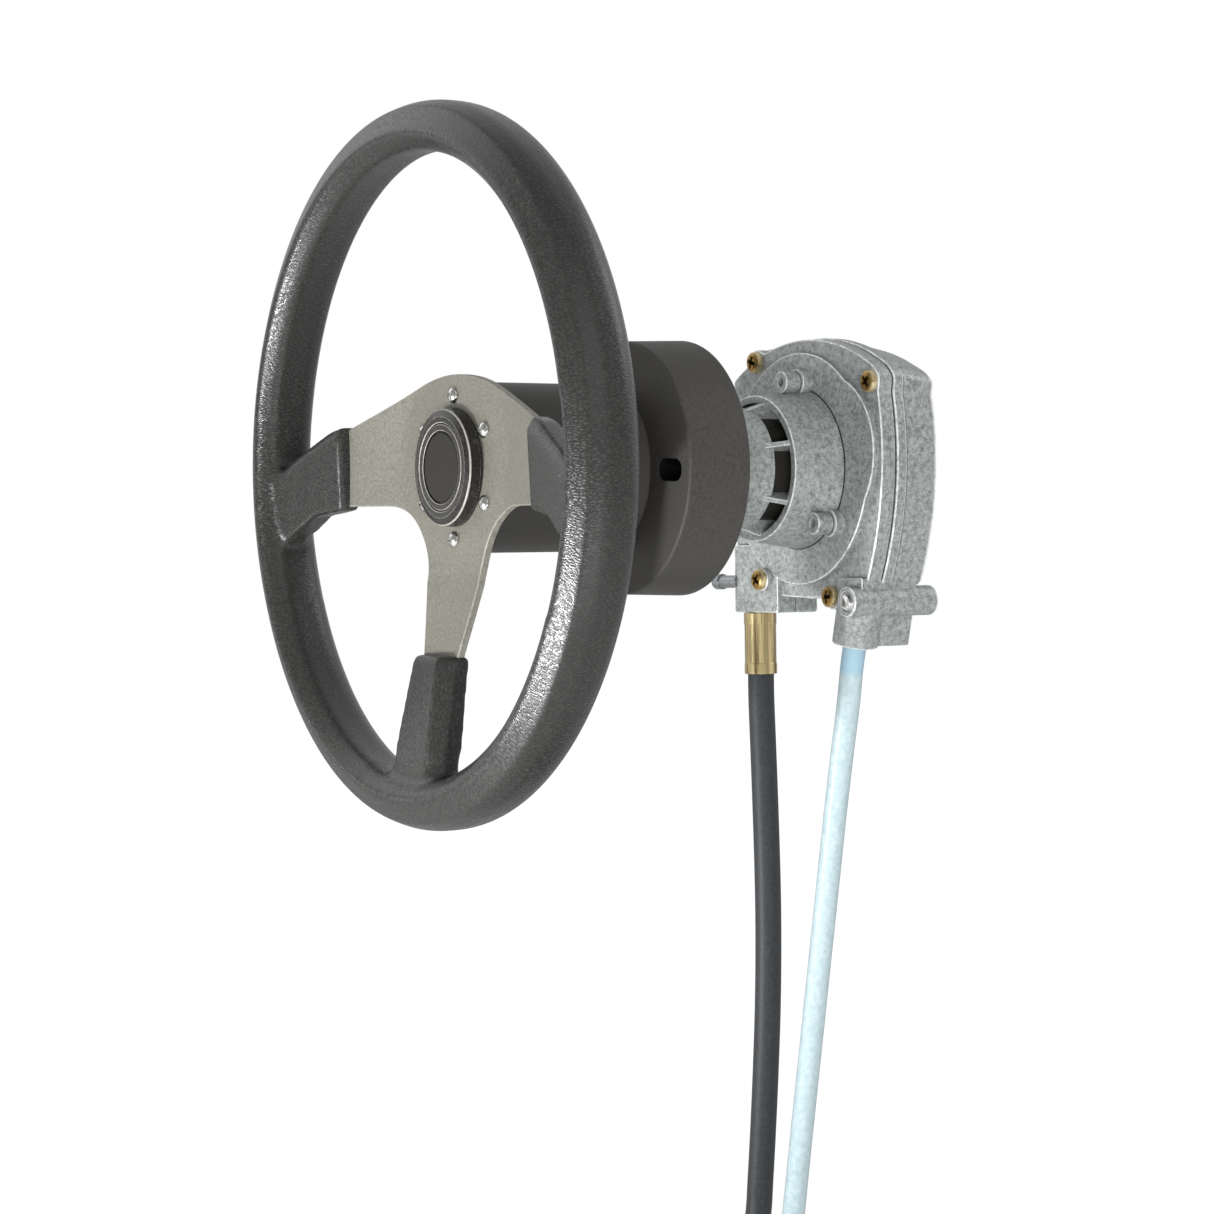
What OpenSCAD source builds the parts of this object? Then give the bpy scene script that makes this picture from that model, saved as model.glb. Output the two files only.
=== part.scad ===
// Mechanical boat steering helm: a three spoke wheel on a keyed shaft, a dash bezel, and a cast
// housing in which planet gears turn a cable drum. Millimetres, +Z up. The steering axis is Y, with
// the driver at -Y. The origin is on that axis, at the front faces of the three mounting lugs.

/* [Wheel rim] */
// Outside diameter of the wheel
wheel_d = 350; // [300:1:400]
// Thickness of the grip, measured outwards from the steering axis
grip_w = 24.6; // [18:0.1:34]
// Thickness of the grip, measured along the steering axis
grip_depth = 34.4; // [24:0.1:44]
// How far the middle of the grip stands in front of the spoke plate
grip_forward = 16; // [8:0.1:24]
// Diameter of the steel ring inside the grip
core_d = 10; // [6:0.5:14]

/* [Spoke plate] */
// Thickness of the spoke plate
plate_t = 4; // [2.5:0.1:6]
// Diameter of the plate's flat middle, which is also twice its height above the axis
plate_mid_d = 90; // [86:1:110]
// Radius of the arc on top of the plate
plate_top_r = 125; // [60:1:150]
// Diameter of the plate's centre hole
plate_hole_d = 40; // [36:0.5:44]
// How far the spokes lean forward where the boots begin
spoke_rise = 9; // [0:0.1:12]
// Height of a side spoke above the axis at its boot
side_up = 20.6; // [14:0.1:26]
// Depth of a side spoke below the axis at its boot
side_down = 18.7; // [16:0.1:28]
// How far a side spoke drops between its boot and the rim
side_drop = 25; // [0:0.5:35]
// Width of the bottom spoke under the middle
bottom_top_w = 51.5; // [40:0.5:64]
// Width of the bottom spoke at its boot
bottom_w = 34.5; // [26:0.5:40]
// Radius of the arcs between the side spokes and the bottom spoke
spoke_arc_r = 38; // [20:1:42]

/* [Boots] */
// Distance from the axis at which the side boots begin
boot_start = 95; // [80:1:105]
// Distance from the axis at which the bottom boot begins
bottom_boot_start = 91; // [80:1:105]
// Angle at which the wheel stands, clockwise as the driver sees it
wheel_stand = 1.2; // [-10:0.1:10]
// How much wider than its spoke a boot is, on each side
boot_lap = 1.8; // [1:0.1:4]
// Thickness of a boot in front of its spoke
boot_front = 8; // [4:0.1:12]
// Thickness of a boot behind its spoke
boot_back = 2; // [1:0.1:5]
// How much wider a boot grows, on each side, where it runs into the grip
boot_flare = 9; // [0:0.5:16]

/* [Hub and cap] */
// Diameter of the hub
hub_d = 83.2; // [78:0.1:100]
// Length of the hub behind the spoke plate
hub_len = 82.4; // [76:0.1:110]
// Thickness of the hub's outer wall
hub_wall = 5; // [3:0.1:6]
// Thickness of the hub's front web
hub_web = 15; // [13:0.5:22]
// Diameter of the hub's tapered core
hub_core_d = 40; // [34:0.5:50]
// Diameter of the recess for the shaft nut
nut_recess_d = 34; // [32:0.5:36]
// Depth of the recess for the shaft nut
nut_recess_depth = 10; // [8:0.5:12]
// Diameter of the circle of hub screws
hub_screw_pcd = 70; // [66:0.5:74]
// Number of hub screws
hub_screw_count = 6; // [3:1:8]
// Thread diameter of a hub screw
hub_screw_d = 5; // [4:0.5:6]
// How far a hub screw goes into the hub
hub_screw_grip = 10; // [6:0.5:12]
// Head diameter of a hub screw
hub_head_d = 8.4; // [7:0.1:10]
// Head height of a hub screw
hub_head_h = 3; // [2:0.1:4]
// Diameter of the centre cap
cap_d = 57.7; // [50:0.1:61]
// Height of the centre cap in front of the plate
cap_h = 8.1; // [5:0.1:9]
// Wall thickness of the centre cap
cap_wall = 2; // [1.5:0.1:3]
// Diameter of the ring set into the cap
cap_ring_d = 43; // [40:0.1:46]
// Diameter of the bare badge disc
badge_d = 35.6; // [30:0.1:38]
// Depth of the recess for the ring and the badge
badge_recess = 1.6; // [1:0.1:2]
// Width of the groove round the ring and round the badge
badge_gap = 0.7; // [0.4:0.1:1]

/* [Shaft] */
// Diameter of the steering shaft
shaft_d = 19.05; // [16:0.05:22]
// Diameter of the shaft's end that carries the sun gear
shaft_end_d = 10; // [8:0.1:11]
// Length of the shaft's taper
taper_len = 45; // [35:0.5:55]
// Length of taper for each millimetre that the diameter shrinks
taper_ratio = 12; // [8:0.5:20]
// Diameter of the shaft's front thread
thread_d = 12.7; // [10:0.1:13.5]
// Width of the shaft nut across its flats
nut_af = 19; // [17:0.5:22]
// Height of the shaft nut
nut_h = 10; // [7:0.5:11]
// Diameter of the nut's washer
washer_d = 30; // [26:0.5:31]
// Thickness of the nut's washer
washer_t = 2.5; // [1.5:0.1:3]
// How far the shaft stands out of its nut
shaft_tip = 2; // [0.5:0.5:3]
// Width of the shaft key
key_w = 4.8; // [3:0.1:6]
// Length of the shaft key
key_len = 20; // [12:0.5:28]

/* [Bezel] */
// Diameter of the bezel's front edge
bezel_front_d = 126.8; // [120:0.1:150]
// Diameter of the bezel's rear rim
bezel_rear_d = 129; // [122:0.1:154]
// Depth of the bezel
bezel_depth = 34.4; // [26:0.1:46]
// Wall thickness of the bezel
bezel_wall = 3; // [2:0.1:5]
// Thickness of the bezel's front face
bezel_face = 4; // [3:0.1:6]
// Width of the bolt slots in the bezel's face
bezel_hole_d = 10.6; // [8:0.1:11]
// Distance between the two round ends of a bolt slot, towards the axis and away from it
bezel_slot_run = 10; // [4:0.5:10]
// Wall thickness of the tubes round the bolt holes
bezel_tube_wall = 2.2; // [1.5:0.1:3]
// Thickness of the collar that fits over the nose
collar_t = 3; // [2:0.1:4]
// Distance from the bezel's rear rim to the mounting lugs
bezel_setback = 58; // [50:0.5:80]
// Running gap between the hub and the bezel
hub_gap = 8.6; // [4:0.1:14]

/* [Cast housing] */
// Diameter of the nose
nose_d = 62; // [58:0.5:64]
// Diameter of the neck between the nose and the boss
neck_d = 54; // [46:0.5:56]
// Diameter of the boss at its front rim
boss_front_d = 75.2; // [74:0.1:80]
// Diameter of the boss at its root
boss_root_d = 83.2; // [81:0.1:86]
// Wall thickness of the boss round its pockets
boss_wall = 4; // [3:0.1:5]
// How far the boss's rim stands in front of the lugs
boss_fore = 12.3; // [8:0.1:16]
// Width of the open groove between the nose and the boss's rim
groove_w = 7.6; // [5:0.1:10]
// Number of ribs across the groove
rib_count = 7; // [5:1:9]
// Thickness of a rib
rib_t = 2.6; // [2:0.1:4]
// Length of a mounting lug
lug_len = 15.6; // [12:0.1:20]
// Diameter of a mounting lug
lug_d = 11.2; // [9.5:0.1:13]
// Diameter of a mounting lug's thicker root
lug_root_d = 14; // [12:0.1:16]
// Length of a mounting lug's thicker root
lug_root_len = 6; // [3:0.1:9]
// Diameter of the tapped hole in a lug
lug_hole_d = 5; // [4:0.1:6]
// Depth of the tapped hole in a lug
lug_hole_depth = 12; // [8:0.5:12]
// Diameter of the circle of mounting lugs
lug_pcd = 90; // [88:0.5:96]
// Number of mounting lugs and of bezel bolt holes
lug_count = 3; // [2:1:4]
// Diameter of the raised disc on the housing's face
disc_d = 120.4; // [118:0.2:128]
// How far the raised disc bulges out towards the right
disc_bulge = 6.5; // [0:0.1:8]
// Radius of that bulge
disc_bulge_r = 40; // [30:0.5:50]
// Height of the raised disc
disc_h = 3.4; // [3:0.1:5]
// Thickness of the wall behind the raised disc
disc_wall = 2; // [1.6:0.1:2.6]
// Thickness of the front housing's flange
flange_t = 8.4; // [8:0.1:10]
// Thickness of the housing gasket
gasket_t = 0.8; // [0.5:0.1:1.5]
// Depth of the rear cover
cover_depth = 26.4; // [25:0.1:36]
// Half width of the housing at mid height
casting_half_w = 68.5; // [67:0.1:76]
// Half height of the housing
casting_half_h = 67; // [66:0.1:74]
// Distance from the axis to the housing's rounded corners
casting_corner_r = 80.5; // [80:0.1:90]
// Radius of the bowed left and right sides
side_bow_r = 160; // [130:1:300]
// Radius of the bowed top
top_bow_r = 120; // [110:1:400]
// Radius of the bowed bottom
low_bow_r = 240; // [180:1:400]
// Slope of the rear cover's top behind its lip, in degrees
cover_slope = 10; // [0:0.5:12]
// Diameter of the round space for the drum
cavity_d = 114; // [110:0.5:115]
// Thread diameter of a housing screw
cover_screw_d = 5; // [4:0.5:6]
// Head diameter of a housing screw
cover_head_d = 9.6; // [8:0.1:11]
// Head height of a housing screw
cover_head_h = 3.6; // [2.5:0.1:5]
// How far a housing screw goes into the rear cover
cover_screw_grip = 14; // [8:0.5:18]

/* [Bushes] */
// Outside diameter of the bronze bushes
bush_d = 26; // [24:0.5:30]
// Length of the bush in the nose
nose_bush_len = 20; // [12:0.5:26]
// Length of the bush in the boss
boss_bush_len = 15; // [10:0.5:17]
// Thickness of the lip seal in front of the nose bush
seal_t = 6; // [4:0.5:8]
// Outside diameter of the bush at the shaft's end
end_bush_d = 18; // [16:0.5:22]
// Length of the bush at the shaft's end
end_bush_len = 5; // [4:0.5:6]
// Running clearance on the radius of a turning fit
run_clear = 0.05; // [0.02:0.01:0.1]

/* [Gears and drum] */
// Gear module
gear_m = 1.5; // [1.4:0.05:1.55]
// Width of the gears
gear_w = 12; // [8:0.5:12.5]
// Play between meshing teeth
gear_play = 0.3; // [0.15:0.05:0.5]
// Wall of the ring gear outside its teeth
ring_wall = 5; // [4:0.1:8]
// Diameter of a planet pin
pin_d = 8; // [6:0.5:10]
// Thickness of the plate behind the planet gears
carrier_t = 2.5; // [2:0.1:3.5]
// Distance from the axis at which the cable core runs on the drum
drum_r = 47; // [44:0.5:49]
// Diameter of the cable core
core_cable_d = 6.6; // [5:0.1:7]
// Thickness of the thrust washer in front of the drum
thrust_t = 1; // [0.8:0.1:1.8]
// Outside diameter of the thrust washer
thrust_d = 50; // [40:0.5:60]
// Side play between turning faces
side_play = 0.25; // [0.2:0.05:0.4]
// Thickness of the retaining ring
clip_t = 1.2; // [0.8:0.1:1.5]

/* [Cable inlet] */
// Width of the cable inlet block
inlet_w = 40; // [36:0.5:48]
// How far the block stands in front of the raised disc
inlet_proud = 3; // [2:0.1:6]
// Depth of the block's rear half
inlet_back = 13.6; // [10:0.1:20]
// Distance from the axis down to the block's lower face
inlet_low = 75; // [72:0.1:84]
// Distance from the axis down to the block's upper face
inlet_high = 39; // [30:0.5:45]
// How far the cable's middle lies from the block's outer side
inlet_side = 13.5; // [12:0.1:16]
// Diameter of the ferrule's spigot
spigot_d = 13.8; // [12:0.1:15]
// Length of the ferrule's spigot
spigot_len = 27; // [22:0.5:30]
// Diameter of the brass ferrule
ferrule_d = 17.4; // [16:0.1:20]
// Length of the brass ferrule
ferrule_len = 33; // [26:0.5:40]
// Diameter of the lock pin
lock_d = 5; // [4:0.1:5.5]
// Distance of the lock pin below the axis
lock_low = 58.5; // [56:0.5:64]
// How far the lock pin stands out of the block
lock_out = 14; // [8:0.5:20]
// Head diameter of the lock pin
lock_head_d = 8.4; // [7:0.1:11]
// Head length of the lock pin
lock_head_len = 5; // [3:0.5:7]

/* [Tube clamp] */
// Lean of the spent travel tube
tube_lean = 14; // [10:1:18]
// Diameter of the spent travel tube
tube_d = 12; // [10:0.1:12.5]
// Diameter of the clamp's barrel
barrel_d = 15.4; // [14:0.1:18]
// Length of the clamp's barrel
barrel_len = 53; // [48:0.5:60]
// Distance from the axis down to the barrel's middle
barrel_low = 69; // [68:0.1:74]
// Distance from the steering axis sideways to the barrel's middle
barrel_side = 50; // [46:0.5:54]
// Diameter of the clamp's boss round the tube
clamp_boss_d = 23.6; // [19:0.1:28]
// Width of the clamp block behind the boss
clamp_w = 22; // [18:0.5:26]
// Depth of the clamp block, from the middle of the tube backward
clamp_depth = 30; // [22:0.5:34]
// Distance from the axis down to the clamp block's lower face
clamp_low = 91; // [86:0.5:98]
// Diameter of the clamp bolt
clamp_bolt_d = 6; // [5:0.5:7]
// Head diameter of the clamp bolt
clamp_head_d = 10.4; // [9:0.1:12]
// Depth of the counterbore for the clamp bolt's head
clamp_head_depth = 4; // [3:0.5:6]

/* [Cables] */
// Outside diameter of the steering cable
cable_d = 14; // [12:0.1:16]
// Inner radius of the coil, at the middle of the cable
coil_in_r = 63; // [58:0.5:70]
// Turns in the coil
coil_turns = 4; // [2:2:6]
// Gap between the turns of the coil
coil_gap = 0.7; // [0.5:0.1:1.5]
// Width of the strap round the coil
tie_w = 9; // [5:0.5:14]
// Thickness of the strap round the coil
tie_t = 1.2; // [0.8:0.1:2]
// Length of the swaged sleeve at the cable's far end
sleeve_len = 34; // [24:0.5:45]
// Diameter of the swaged sleeve
sleeve_d = 18; // [16:0.1:22]
// Width across the flats of the coupling nut
coupling_af = 28; // [24:0.5:32]
// Length of the coupling nut
coupling_len = 22; // [16:0.5:28]
// Diameter of the far end's transport cap
end_cap_d = 17; // [14:0.1:20]
// Length of the far end's transport cap
end_cap_len = 44; // [30:0.5:60]
// Length of the plug in the end of the spent travel tube
tube_plug_len = 16; // [10:0.5:24]

/* [Hidden] */
$fn = 96;

// A little extra for cutters, so that no cut ends on a face
over = 1;
// Clearance on the radius of a fixed fit that is pushed together
slip = 0.15;
// Room on the radius between the cable core and what it runs through
core_room = 0.35;
// Room on the radius where the shaft passes through without a bush
shaft_room = 2;
// Width of the drum's lip beside the cable core
drum_lip = 0.8;
// Teeth on the sun gear and on a planet gear, which let three planets stand evenly round the sun
sun_teeth = 12;
planet_teeth = 18;

// Stations along the steering axis, from the lugs forward
nose_shoulder_y = -boss_fore - groove_w;
bezel_rear_y = -bezel_setback;
bezel_front_y = bezel_rear_y - bezel_depth;
nose_front_y = bezel_front_y + bezel_face;
hub_rear_y = bezel_front_y - hub_gap;
hub_front_y = hub_rear_y - hub_len;
plate_y = hub_front_y - plate_t;
grip_y = plate_y - grip_forward;
recess_y = hub_front_y + nut_recess_depth;
nut_y = recess_y - washer_t - nut_h;
shaft_front_y = nut_y - shaft_tip;
hub_core_tail = 5;
hub_core_rear_y = recess_y + taper_len + hub_core_tail;

// Stations along the steering axis, from the lugs backward
disc_y = lug_len;
flange_y = disc_y + disc_h;
parting_y = flange_y + flange_t;
cover_y = parting_y + gasket_t;
back_y = cover_y + cover_depth;
cavity_y = disc_y + disc_wall;
drum_y = cavity_y + thrust_t + side_play;
drum_t = cover_y - drum_y;
cable_y = drum_y + core_cable_d / 2 + drum_lip;
gear_y = cover_y + side_play;
carrier_y = gear_y + gear_w + side_play;
clip_y = carrier_y + carrier_t + side_play;
end_bush_y = clip_y + clip_t + side_play;
shaft_end_y = end_bush_y + end_bush_len - side_play;
gear_bay_y = end_bush_y;

// Radii
grip_r = wheel_d / 2 - grip_w / 2;
bore_r = bush_d / 2;
shaft_r = shaft_d / 2;
thread_r = thread_d / 2;
taper_small_r = shaft_r - taper_len / taper_ratio / 2;
pocket_r = boss_front_d / 2 - boss_wall;
ring_teeth = sun_teeth + 2 * planet_teeth;
orbit_r = gear_m * (sun_teeth + planet_teeth) / 2;
ring_r = gear_m * ring_teeth / 2 + ring_wall;
rib_first = 20;
lug_first = 80;
bezel_hole_first = -3;
bulge_at = 15;
bulge_out = disc_d / 2 + disc_bulge - disc_bulge_r;
hub_screw_first = 90 - wheel_stand;

// Places of the housing screws, across and up; the third goes through the inlet block
cover_screws = [[-41, 58], [60, 42], [-30.5, -57.5], [24, -66.5]];
inlet_screw = 2;
ear_r = cover_head_d / 2 + 2;
inlet_y = disc_y - inlet_proud;

// The cable and the tube leave the drum straight down, on either side of it
cable_x = -drum_r;
tube_x = drum_r;
inlet_x = cable_x - inlet_side;
spigot_top_z = -inlet_low + spigot_len;
lean_z = -55;
lock_y = cable_y - spigot_d / 2 + lock_d / 4;
barrel_fore = 3.5;
barrel_y = inlet_y - barrel_fore;
barrel_end_wall = 6;
clamp_bolt_len = barrel_len - barrel_end_wall;
clamp_head_out = 1;

// The surface on which the coil lies, below the steering axis
floor_z = -472;
cable_r = cable_d / 2;
lay_z = floor_z + tie_t + slip + cable_r;
coil_pitch = cable_d + coil_gap;
coil_out_r = coil_in_r + coil_pitch * coil_turns / 2;
coil_start_x = -62.4;
coil_x = coil_start_x + coil_out_r;
coil_y = -75;
coil_top_z = lay_z + coil_pitch;

// Route of the steering cable from its ferrule down to the coil
ferrule_low_z = -inlet_low - ferrule_len;
cable_route = concat(
    [[cable_x, cable_y, ferrule_low_z], [cable_x, cable_y, ferrule_low_z - cable_d]],
    [[-46, cable_y, -145], [-45, cable_y, -170], [-44, cable_y, -200], [-43.5, cable_y, -230],
     [-44, cable_y, -260], [-45.5, cable_y, -290], [-48, cable_y, -320], [-51, cable_y, -350],
     [-54.5, cable_y, -380], [-57, cable_y - 0.5, -402], [-59, cable_y - 5, -421],
     [-60.5, cable_y - 14, -438], [-61.5, cable_y - 28, -451.5], [-62, cable_y - 45, -460]],
    [[coil_start_x, coil_y + 32, lay_z], [coil_start_x, coil_y + 18, lay_z],
     [coil_start_x, coil_y + cable_d, lay_z]]);

// Route of the cable from the top of the coil down to its far end, where a flat of the coupling nut
// rests on the floor: how far each point lies along the tail, and how far down it has come
tail_len = 104;
tail_end_y = coil_y - tail_len;
far_z = floor_z + coupling_af / 2;
tail_shape = [[cable_d / tail_len, 0], [0.25, 0], [0.4, 0.12], [0.56, 0.42], [0.71, 0.76], [0.85, 0.96],
    [0.92, 1], [1, 1]];
tail_route = [for (step = tail_shape)
    [coil_start_x, coil_y - step[0] * tail_len, coil_top_z - step[1] * (coil_top_z - far_z)]];

// Route of the spent travel tube, which leaves the clamp along its lean
function on_lean(z) = [tube_x + (z - lean_z) * tan(tube_lean), cable_y, z];
tube_grip = 15;
tube_top_z = -clamp_low + tube_grip;
tube_route = concat([on_lean(tube_top_z), on_lean(-clamp_low), on_lean(-clamp_low - tube_d)],
    [[31.5, cable_y, -122], [25, cable_y, -150], [18.5, cable_y, -180], [12.5, cable_y, -210],
     [6.5, cable_y, -240], [0.5, cable_y, -270], [-5.5, cable_y, -300], [-11.5, cable_y, -330],
     [-17.5, cable_y, -360], [-22.5, cable_y, -386], [-26, cable_y, -404]]);

// Solid of revolution about the steering axis, from points given as radius and Y
module lathe(points) {
    rotate([-90, 0, 0]) rotate_extrude() polygon(points);
}

// Ring about the steering axis
module ring_solid(r_out, r_in, y, length) {
    lathe([[r_in, y], [r_out, y], [r_out, y + length], [r_in, y + length]]);
}

// Round bar along the steering axis, at a place across and up
module bar(r, y, length, place = [0, 0]) {
    translate([place[0], y, place[1]]) rotate([-90, 0, 0]) cylinder(r = r, h = length);
}

// Outline drawn across and up, carried along the steering axis
module slab(y, length) {
    translate([0, y + length, 0]) rotate([90, 0, 0]) linear_extrude(length) children();
}

// Copies turned about the steering axis, starting at an angle from +X towards +Z
module around(count, first = 0) {
    for (k = [0 : count - 1]) rotate([0, -first - k * 360 / count, 0]) children();
}

function unit(v) = v / norm(v);
function heading(p, i) = unit(p[min(i + 1, len(p) - 1)] - p[max(i - 1, 0)]);
function loop_at(p, i, side, r, n) =
    let (t = heading(p, i), u = unit(side - (side * t) * t), v = cross(t, u))
    [for (k = [0 : n - 1]) p[i] + r * (cos(360 * k / n) * u + sin(360 * k / n) * v)];

// Tube swept along a route; side is a direction that the route never follows
module sweep(p, r, side, n) {
    m = len(p);
    points = [for (i = [0 : m - 1]) each loop_at(p, i, side, r, n)];
    walls = [for (i = [0 : m - 2], k = [0 : n - 1])
        let (a = i * n + k, b = i * n + (k + 1) % n) each [[a, a + n, b], [b, a + n, b + n]]];
    last = (m - 1) * n;
    ends = [for (k = [1 : n - 2]) each [[0, k, k + 1], [last, last + k + 1, last + k]]];
    polyhedron(points, concat(walls, ends));
}

// Involute gear outline; tall is the height of a tooth above the pitch circle, deep its depth below
pressure = 25;
function roll(r, base) = let (a = acos(min(1, base / r))) tan(a) * 180 / PI - a;
function flank(r, pitch, base, half) =
    half + roll(pitch, base) - roll(max(r, base), base);
function gear_points(teeth, tall, deep, play, steps = 5) =
    let (pitch = gear_m * teeth / 2, base = pitch * cos(pressure), low = pitch - deep,
        high = pitch + tall, half = 90 / teeth - play / pitch / 4 * 180 / PI)
    [for (k = [0 : teeth - 1]) each concat(
        [for (s = [0 : steps]) let (r = low + (high - low) * s / steps,
            a = k * 360 / teeth - flank(r, pitch, base, half)) r * [cos(a), sin(a)]],
        [for (s = [0 : steps]) let (r = high + (low - high) * s / steps,
            a = k * 360 / teeth + flank(r, pitch, base, half)) r * [cos(a), sin(a)]])];
tooth_tall = 0.8 * gear_m;
tooth_deep = 1.05 * gear_m;

// The grip's oval section, as one closed ring of points
function grip_points(n = 40) = [for (k = [0 : n - 1])
    [grip_r + grip_w / 2 * cos(360 * k / n), grip_y + grip_depth / 2 * sin(360 * k / n)]];

// Outline of a side spoke to the right, widened on both edges
plate_top_z = plate_mid_d / 2 - plate_top_r;
tangent_turn = acos(min(1, plate_top_r / norm([boot_start, side_up - plate_top_z])));
tangent_at = atan2(side_up - plate_top_z, boot_start) + tangent_turn;
function side_points(lap, flare) = [
    [boot_start, side_up + lap],
    [boot_start + 12, side_up + lap - side_drop * 0.12],
    [grip_r - grip_w / 2 - 4, side_up + lap + flare * 0.4 - side_drop],
    [grip_r, side_up + lap + flare - side_drop],
    [grip_r, -side_down - lap - flare - side_drop * 0.6],
    [grip_r - grip_w / 2 - 4, -side_down - lap - flare * 0.4 - side_drop * 0.6],
    [boot_start + 24, -side_down - lap - side_drop * 0.12],
    [boot_start, -side_down - lap]];

// Outline of the bottom spoke, widened on both edges
function bottom_points(lap, flare) = [
    [-bottom_w / 2 - lap, -bottom_boot_start], [-bottom_w / 2 - lap - flare * 0.4, -grip_r + grip_w / 2 + 4],
    [-bottom_w / 2 - lap - flare, -grip_r], [bottom_w / 2 + lap + flare, -grip_r],
    [bottom_w / 2 + lap + flare * 0.4, -grip_r + grip_w / 2 + 4], [bottom_w / 2 + lap, -bottom_boot_start]];

// The right half of the spoke plate as seen from the driver, from the top round to the bottom
spoke_arc_at = [bottom_top_w / 2 + spoke_arc_r, -side_down - spoke_arc_r];
half_plate = concat(
    [for (k = [0 : 6]) let (a = 90 + (tangent_at - 90) * k / 6)
        [0, plate_top_z] + plate_top_r * [cos(a), sin(a)]],
    side_points(0, 0),
    [for (k = [0 : 10]) spoke_arc_at + spoke_arc_r * [cos(90 + 9 * k), sin(90 + 9 * k)]],
    [[bottom_w / 2, -bottom_boot_start], [bottom_w / 2, -grip_r]]);
plate_points = concat(half_plate,
    [for (k = [len(half_plate) - 1 : -1 : 1]) [-half_plate[k][0], half_plate[k][1]]]);

// The dished sheet from which the plate is cut; the spokes rise forward to the steel ring
module dish(front, back) {
    flat_r = plate_mid_d / 2 + 2 * plate_t;
    end_y = grip_y - plate_t / 2;
    lathe([[0, plate_y - front], [flat_r, plate_y - front], [boot_start, plate_y - spoke_rise - front],
        [grip_r, end_y - front], [grip_r, end_y + plate_t + back],
        [boot_start, plate_y - spoke_rise + plate_t + back], [flat_r, plate_y + plate_t + back],
        [0, plate_y + plate_t + back]]);
}

module plate_blank() {
    reach = grip_forward + spoke_rise + grip_depth;
    intersection() {
        dish(0, 0);
        slab(plate_y - reach, 2 * reach) polygon(plate_points);
    }
}

module boot_blank(points) {
    reach = grip_forward + spoke_rise + grip_depth;
    intersection() {
        dish(boot_front, boot_back);
        slab(plate_y - reach, 2 * reach) polygon(points);
    }
}

module core_ring() {
    rotate([-90, 0, 0]) translate([0, 0, grip_y]) rotate_extrude() translate([grip_r, 0])
        circle(core_d / 2);
}

// Turns the spokes to the angle at which the wheel stands
module stand() {
    rotate([0, wheel_stand, 0]) children();
}

module wheel_rim() {
    color("#33322f") difference() {
        union() {
            lathe(grip_points());
            stand() {
                boot_blank(side_points(boot_lap, boot_flare));
                mirror([1, 0, 0]) boot_blank(side_points(boot_lap, boot_flare));
                boot_blank(bottom_points(boot_lap, boot_flare));
            }
        }
        core_ring();
        stand() plate_blank();
    }
}

module rim_core() {
    color("#777b80") core_ring();
}

module spoke_plate() {
    color("#a9a79c") difference() {
        stand() plate_blank();
        core_ring();
        bar(plate_hole_d / 2, plate_y - over, plate_t + 2 * over);
        around(hub_screw_count, hub_screw_first)
            bar(hub_screw_d / 2 + slip, plate_y - over, plate_t + 2 * over, [hub_screw_pcd / 2, 0]);
    }
}

// The key lies along the top of the taper, half in the shaft and half in the hub
module key_blank() {
    middle_y = recess_y + taper_len / 2;
    middle_r = (shaft_r + taper_small_r) / 2;
    translate([-key_w / 2, middle_y - key_len / 2, middle_r - key_w / 2]) cube([key_w, key_len, key_w]);
}

module wheel_hub() {
    skirt_r = hub_d / 2 - hub_wall;
    color("#262523") difference() {
        union() {
            ring_solid(hub_d / 2, taper_small_r, hub_front_y, hub_web);
            ring_solid(hub_d / 2, skirt_r, hub_front_y, hub_len);
            lathe([[taper_small_r - over, recess_y], [hub_core_d / 2, recess_y],
                [hub_core_d / 2, hub_core_rear_y], [taper_small_r - over, hub_core_rear_y]]);
        }
        lathe([[0, recess_y], [taper_small_r, recess_y], [shaft_r, recess_y + taper_len],
            [shaft_r, hub_core_rear_y + over], [0, hub_core_rear_y + over]]);
        bar(nut_recess_d / 2, hub_front_y - over, nut_recess_depth + over);
        around(hub_screw_count, hub_screw_first)
            bar(hub_screw_d / 2, hub_front_y - over, hub_screw_grip + over, [hub_screw_pcd / 2, 0]);
        key_blank();
    }
}

module hub_screws() {
    dome_r = (hub_head_h ^ 2 + (hub_head_d / 2) ^ 2) / 2 / hub_head_h;
    color("#d8d8d6") around(hub_screw_count, hub_screw_first) {
        bar(hub_screw_d / 2, plate_y, plate_t + hub_screw_grip, [hub_screw_pcd / 2, 0]);
        intersection() {
            bar(hub_head_d / 2, plate_y - hub_head_h - over, hub_head_h + over, [hub_screw_pcd / 2, 0]);
            translate([hub_screw_pcd / 2, plate_y - hub_head_h + dome_r, 0]) sphere(dome_r);
        }
    }
}

module centre_cap() {
    front_y = plate_y - cap_h;
    edge = 2;
    plug_r = plate_hole_d / 2 - slip;
    color("#22211f") lathe([[0, front_y + badge_recess], [cap_ring_d / 2, front_y + badge_recess],
        [cap_ring_d / 2, front_y], [cap_d / 2 - edge, front_y], [cap_d / 2, front_y + edge],
        [cap_d / 2, plate_y], [plug_r, plate_y], [plug_r, plate_y + plate_t],
        [plug_r - cap_wall, plate_y + plate_t], [plug_r - cap_wall, front_y + badge_recess + cap_wall],
        [0, front_y + badge_recess + cap_wall]]);
}

module cap_ring() {
    color("#2c2b29") ring_solid(cap_ring_d / 2 - badge_gap, badge_d / 2, plate_y - cap_h, badge_recess);
}

module cap_badge() {
    color("#3a3936") bar(badge_d / 2 - badge_gap, plate_y - cap_h, badge_recess);
}

module shaft_nut() {
    color("#9a9da0") difference() {
        translate([0, nut_y, 0]) rotate([-90, 0, 0])
            cylinder(r = nut_af / 2 / cos(30), h = nut_h, $fn = 6);
        bar(thread_r, nut_y - over, nut_h + 2 * over);
    }
}

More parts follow.
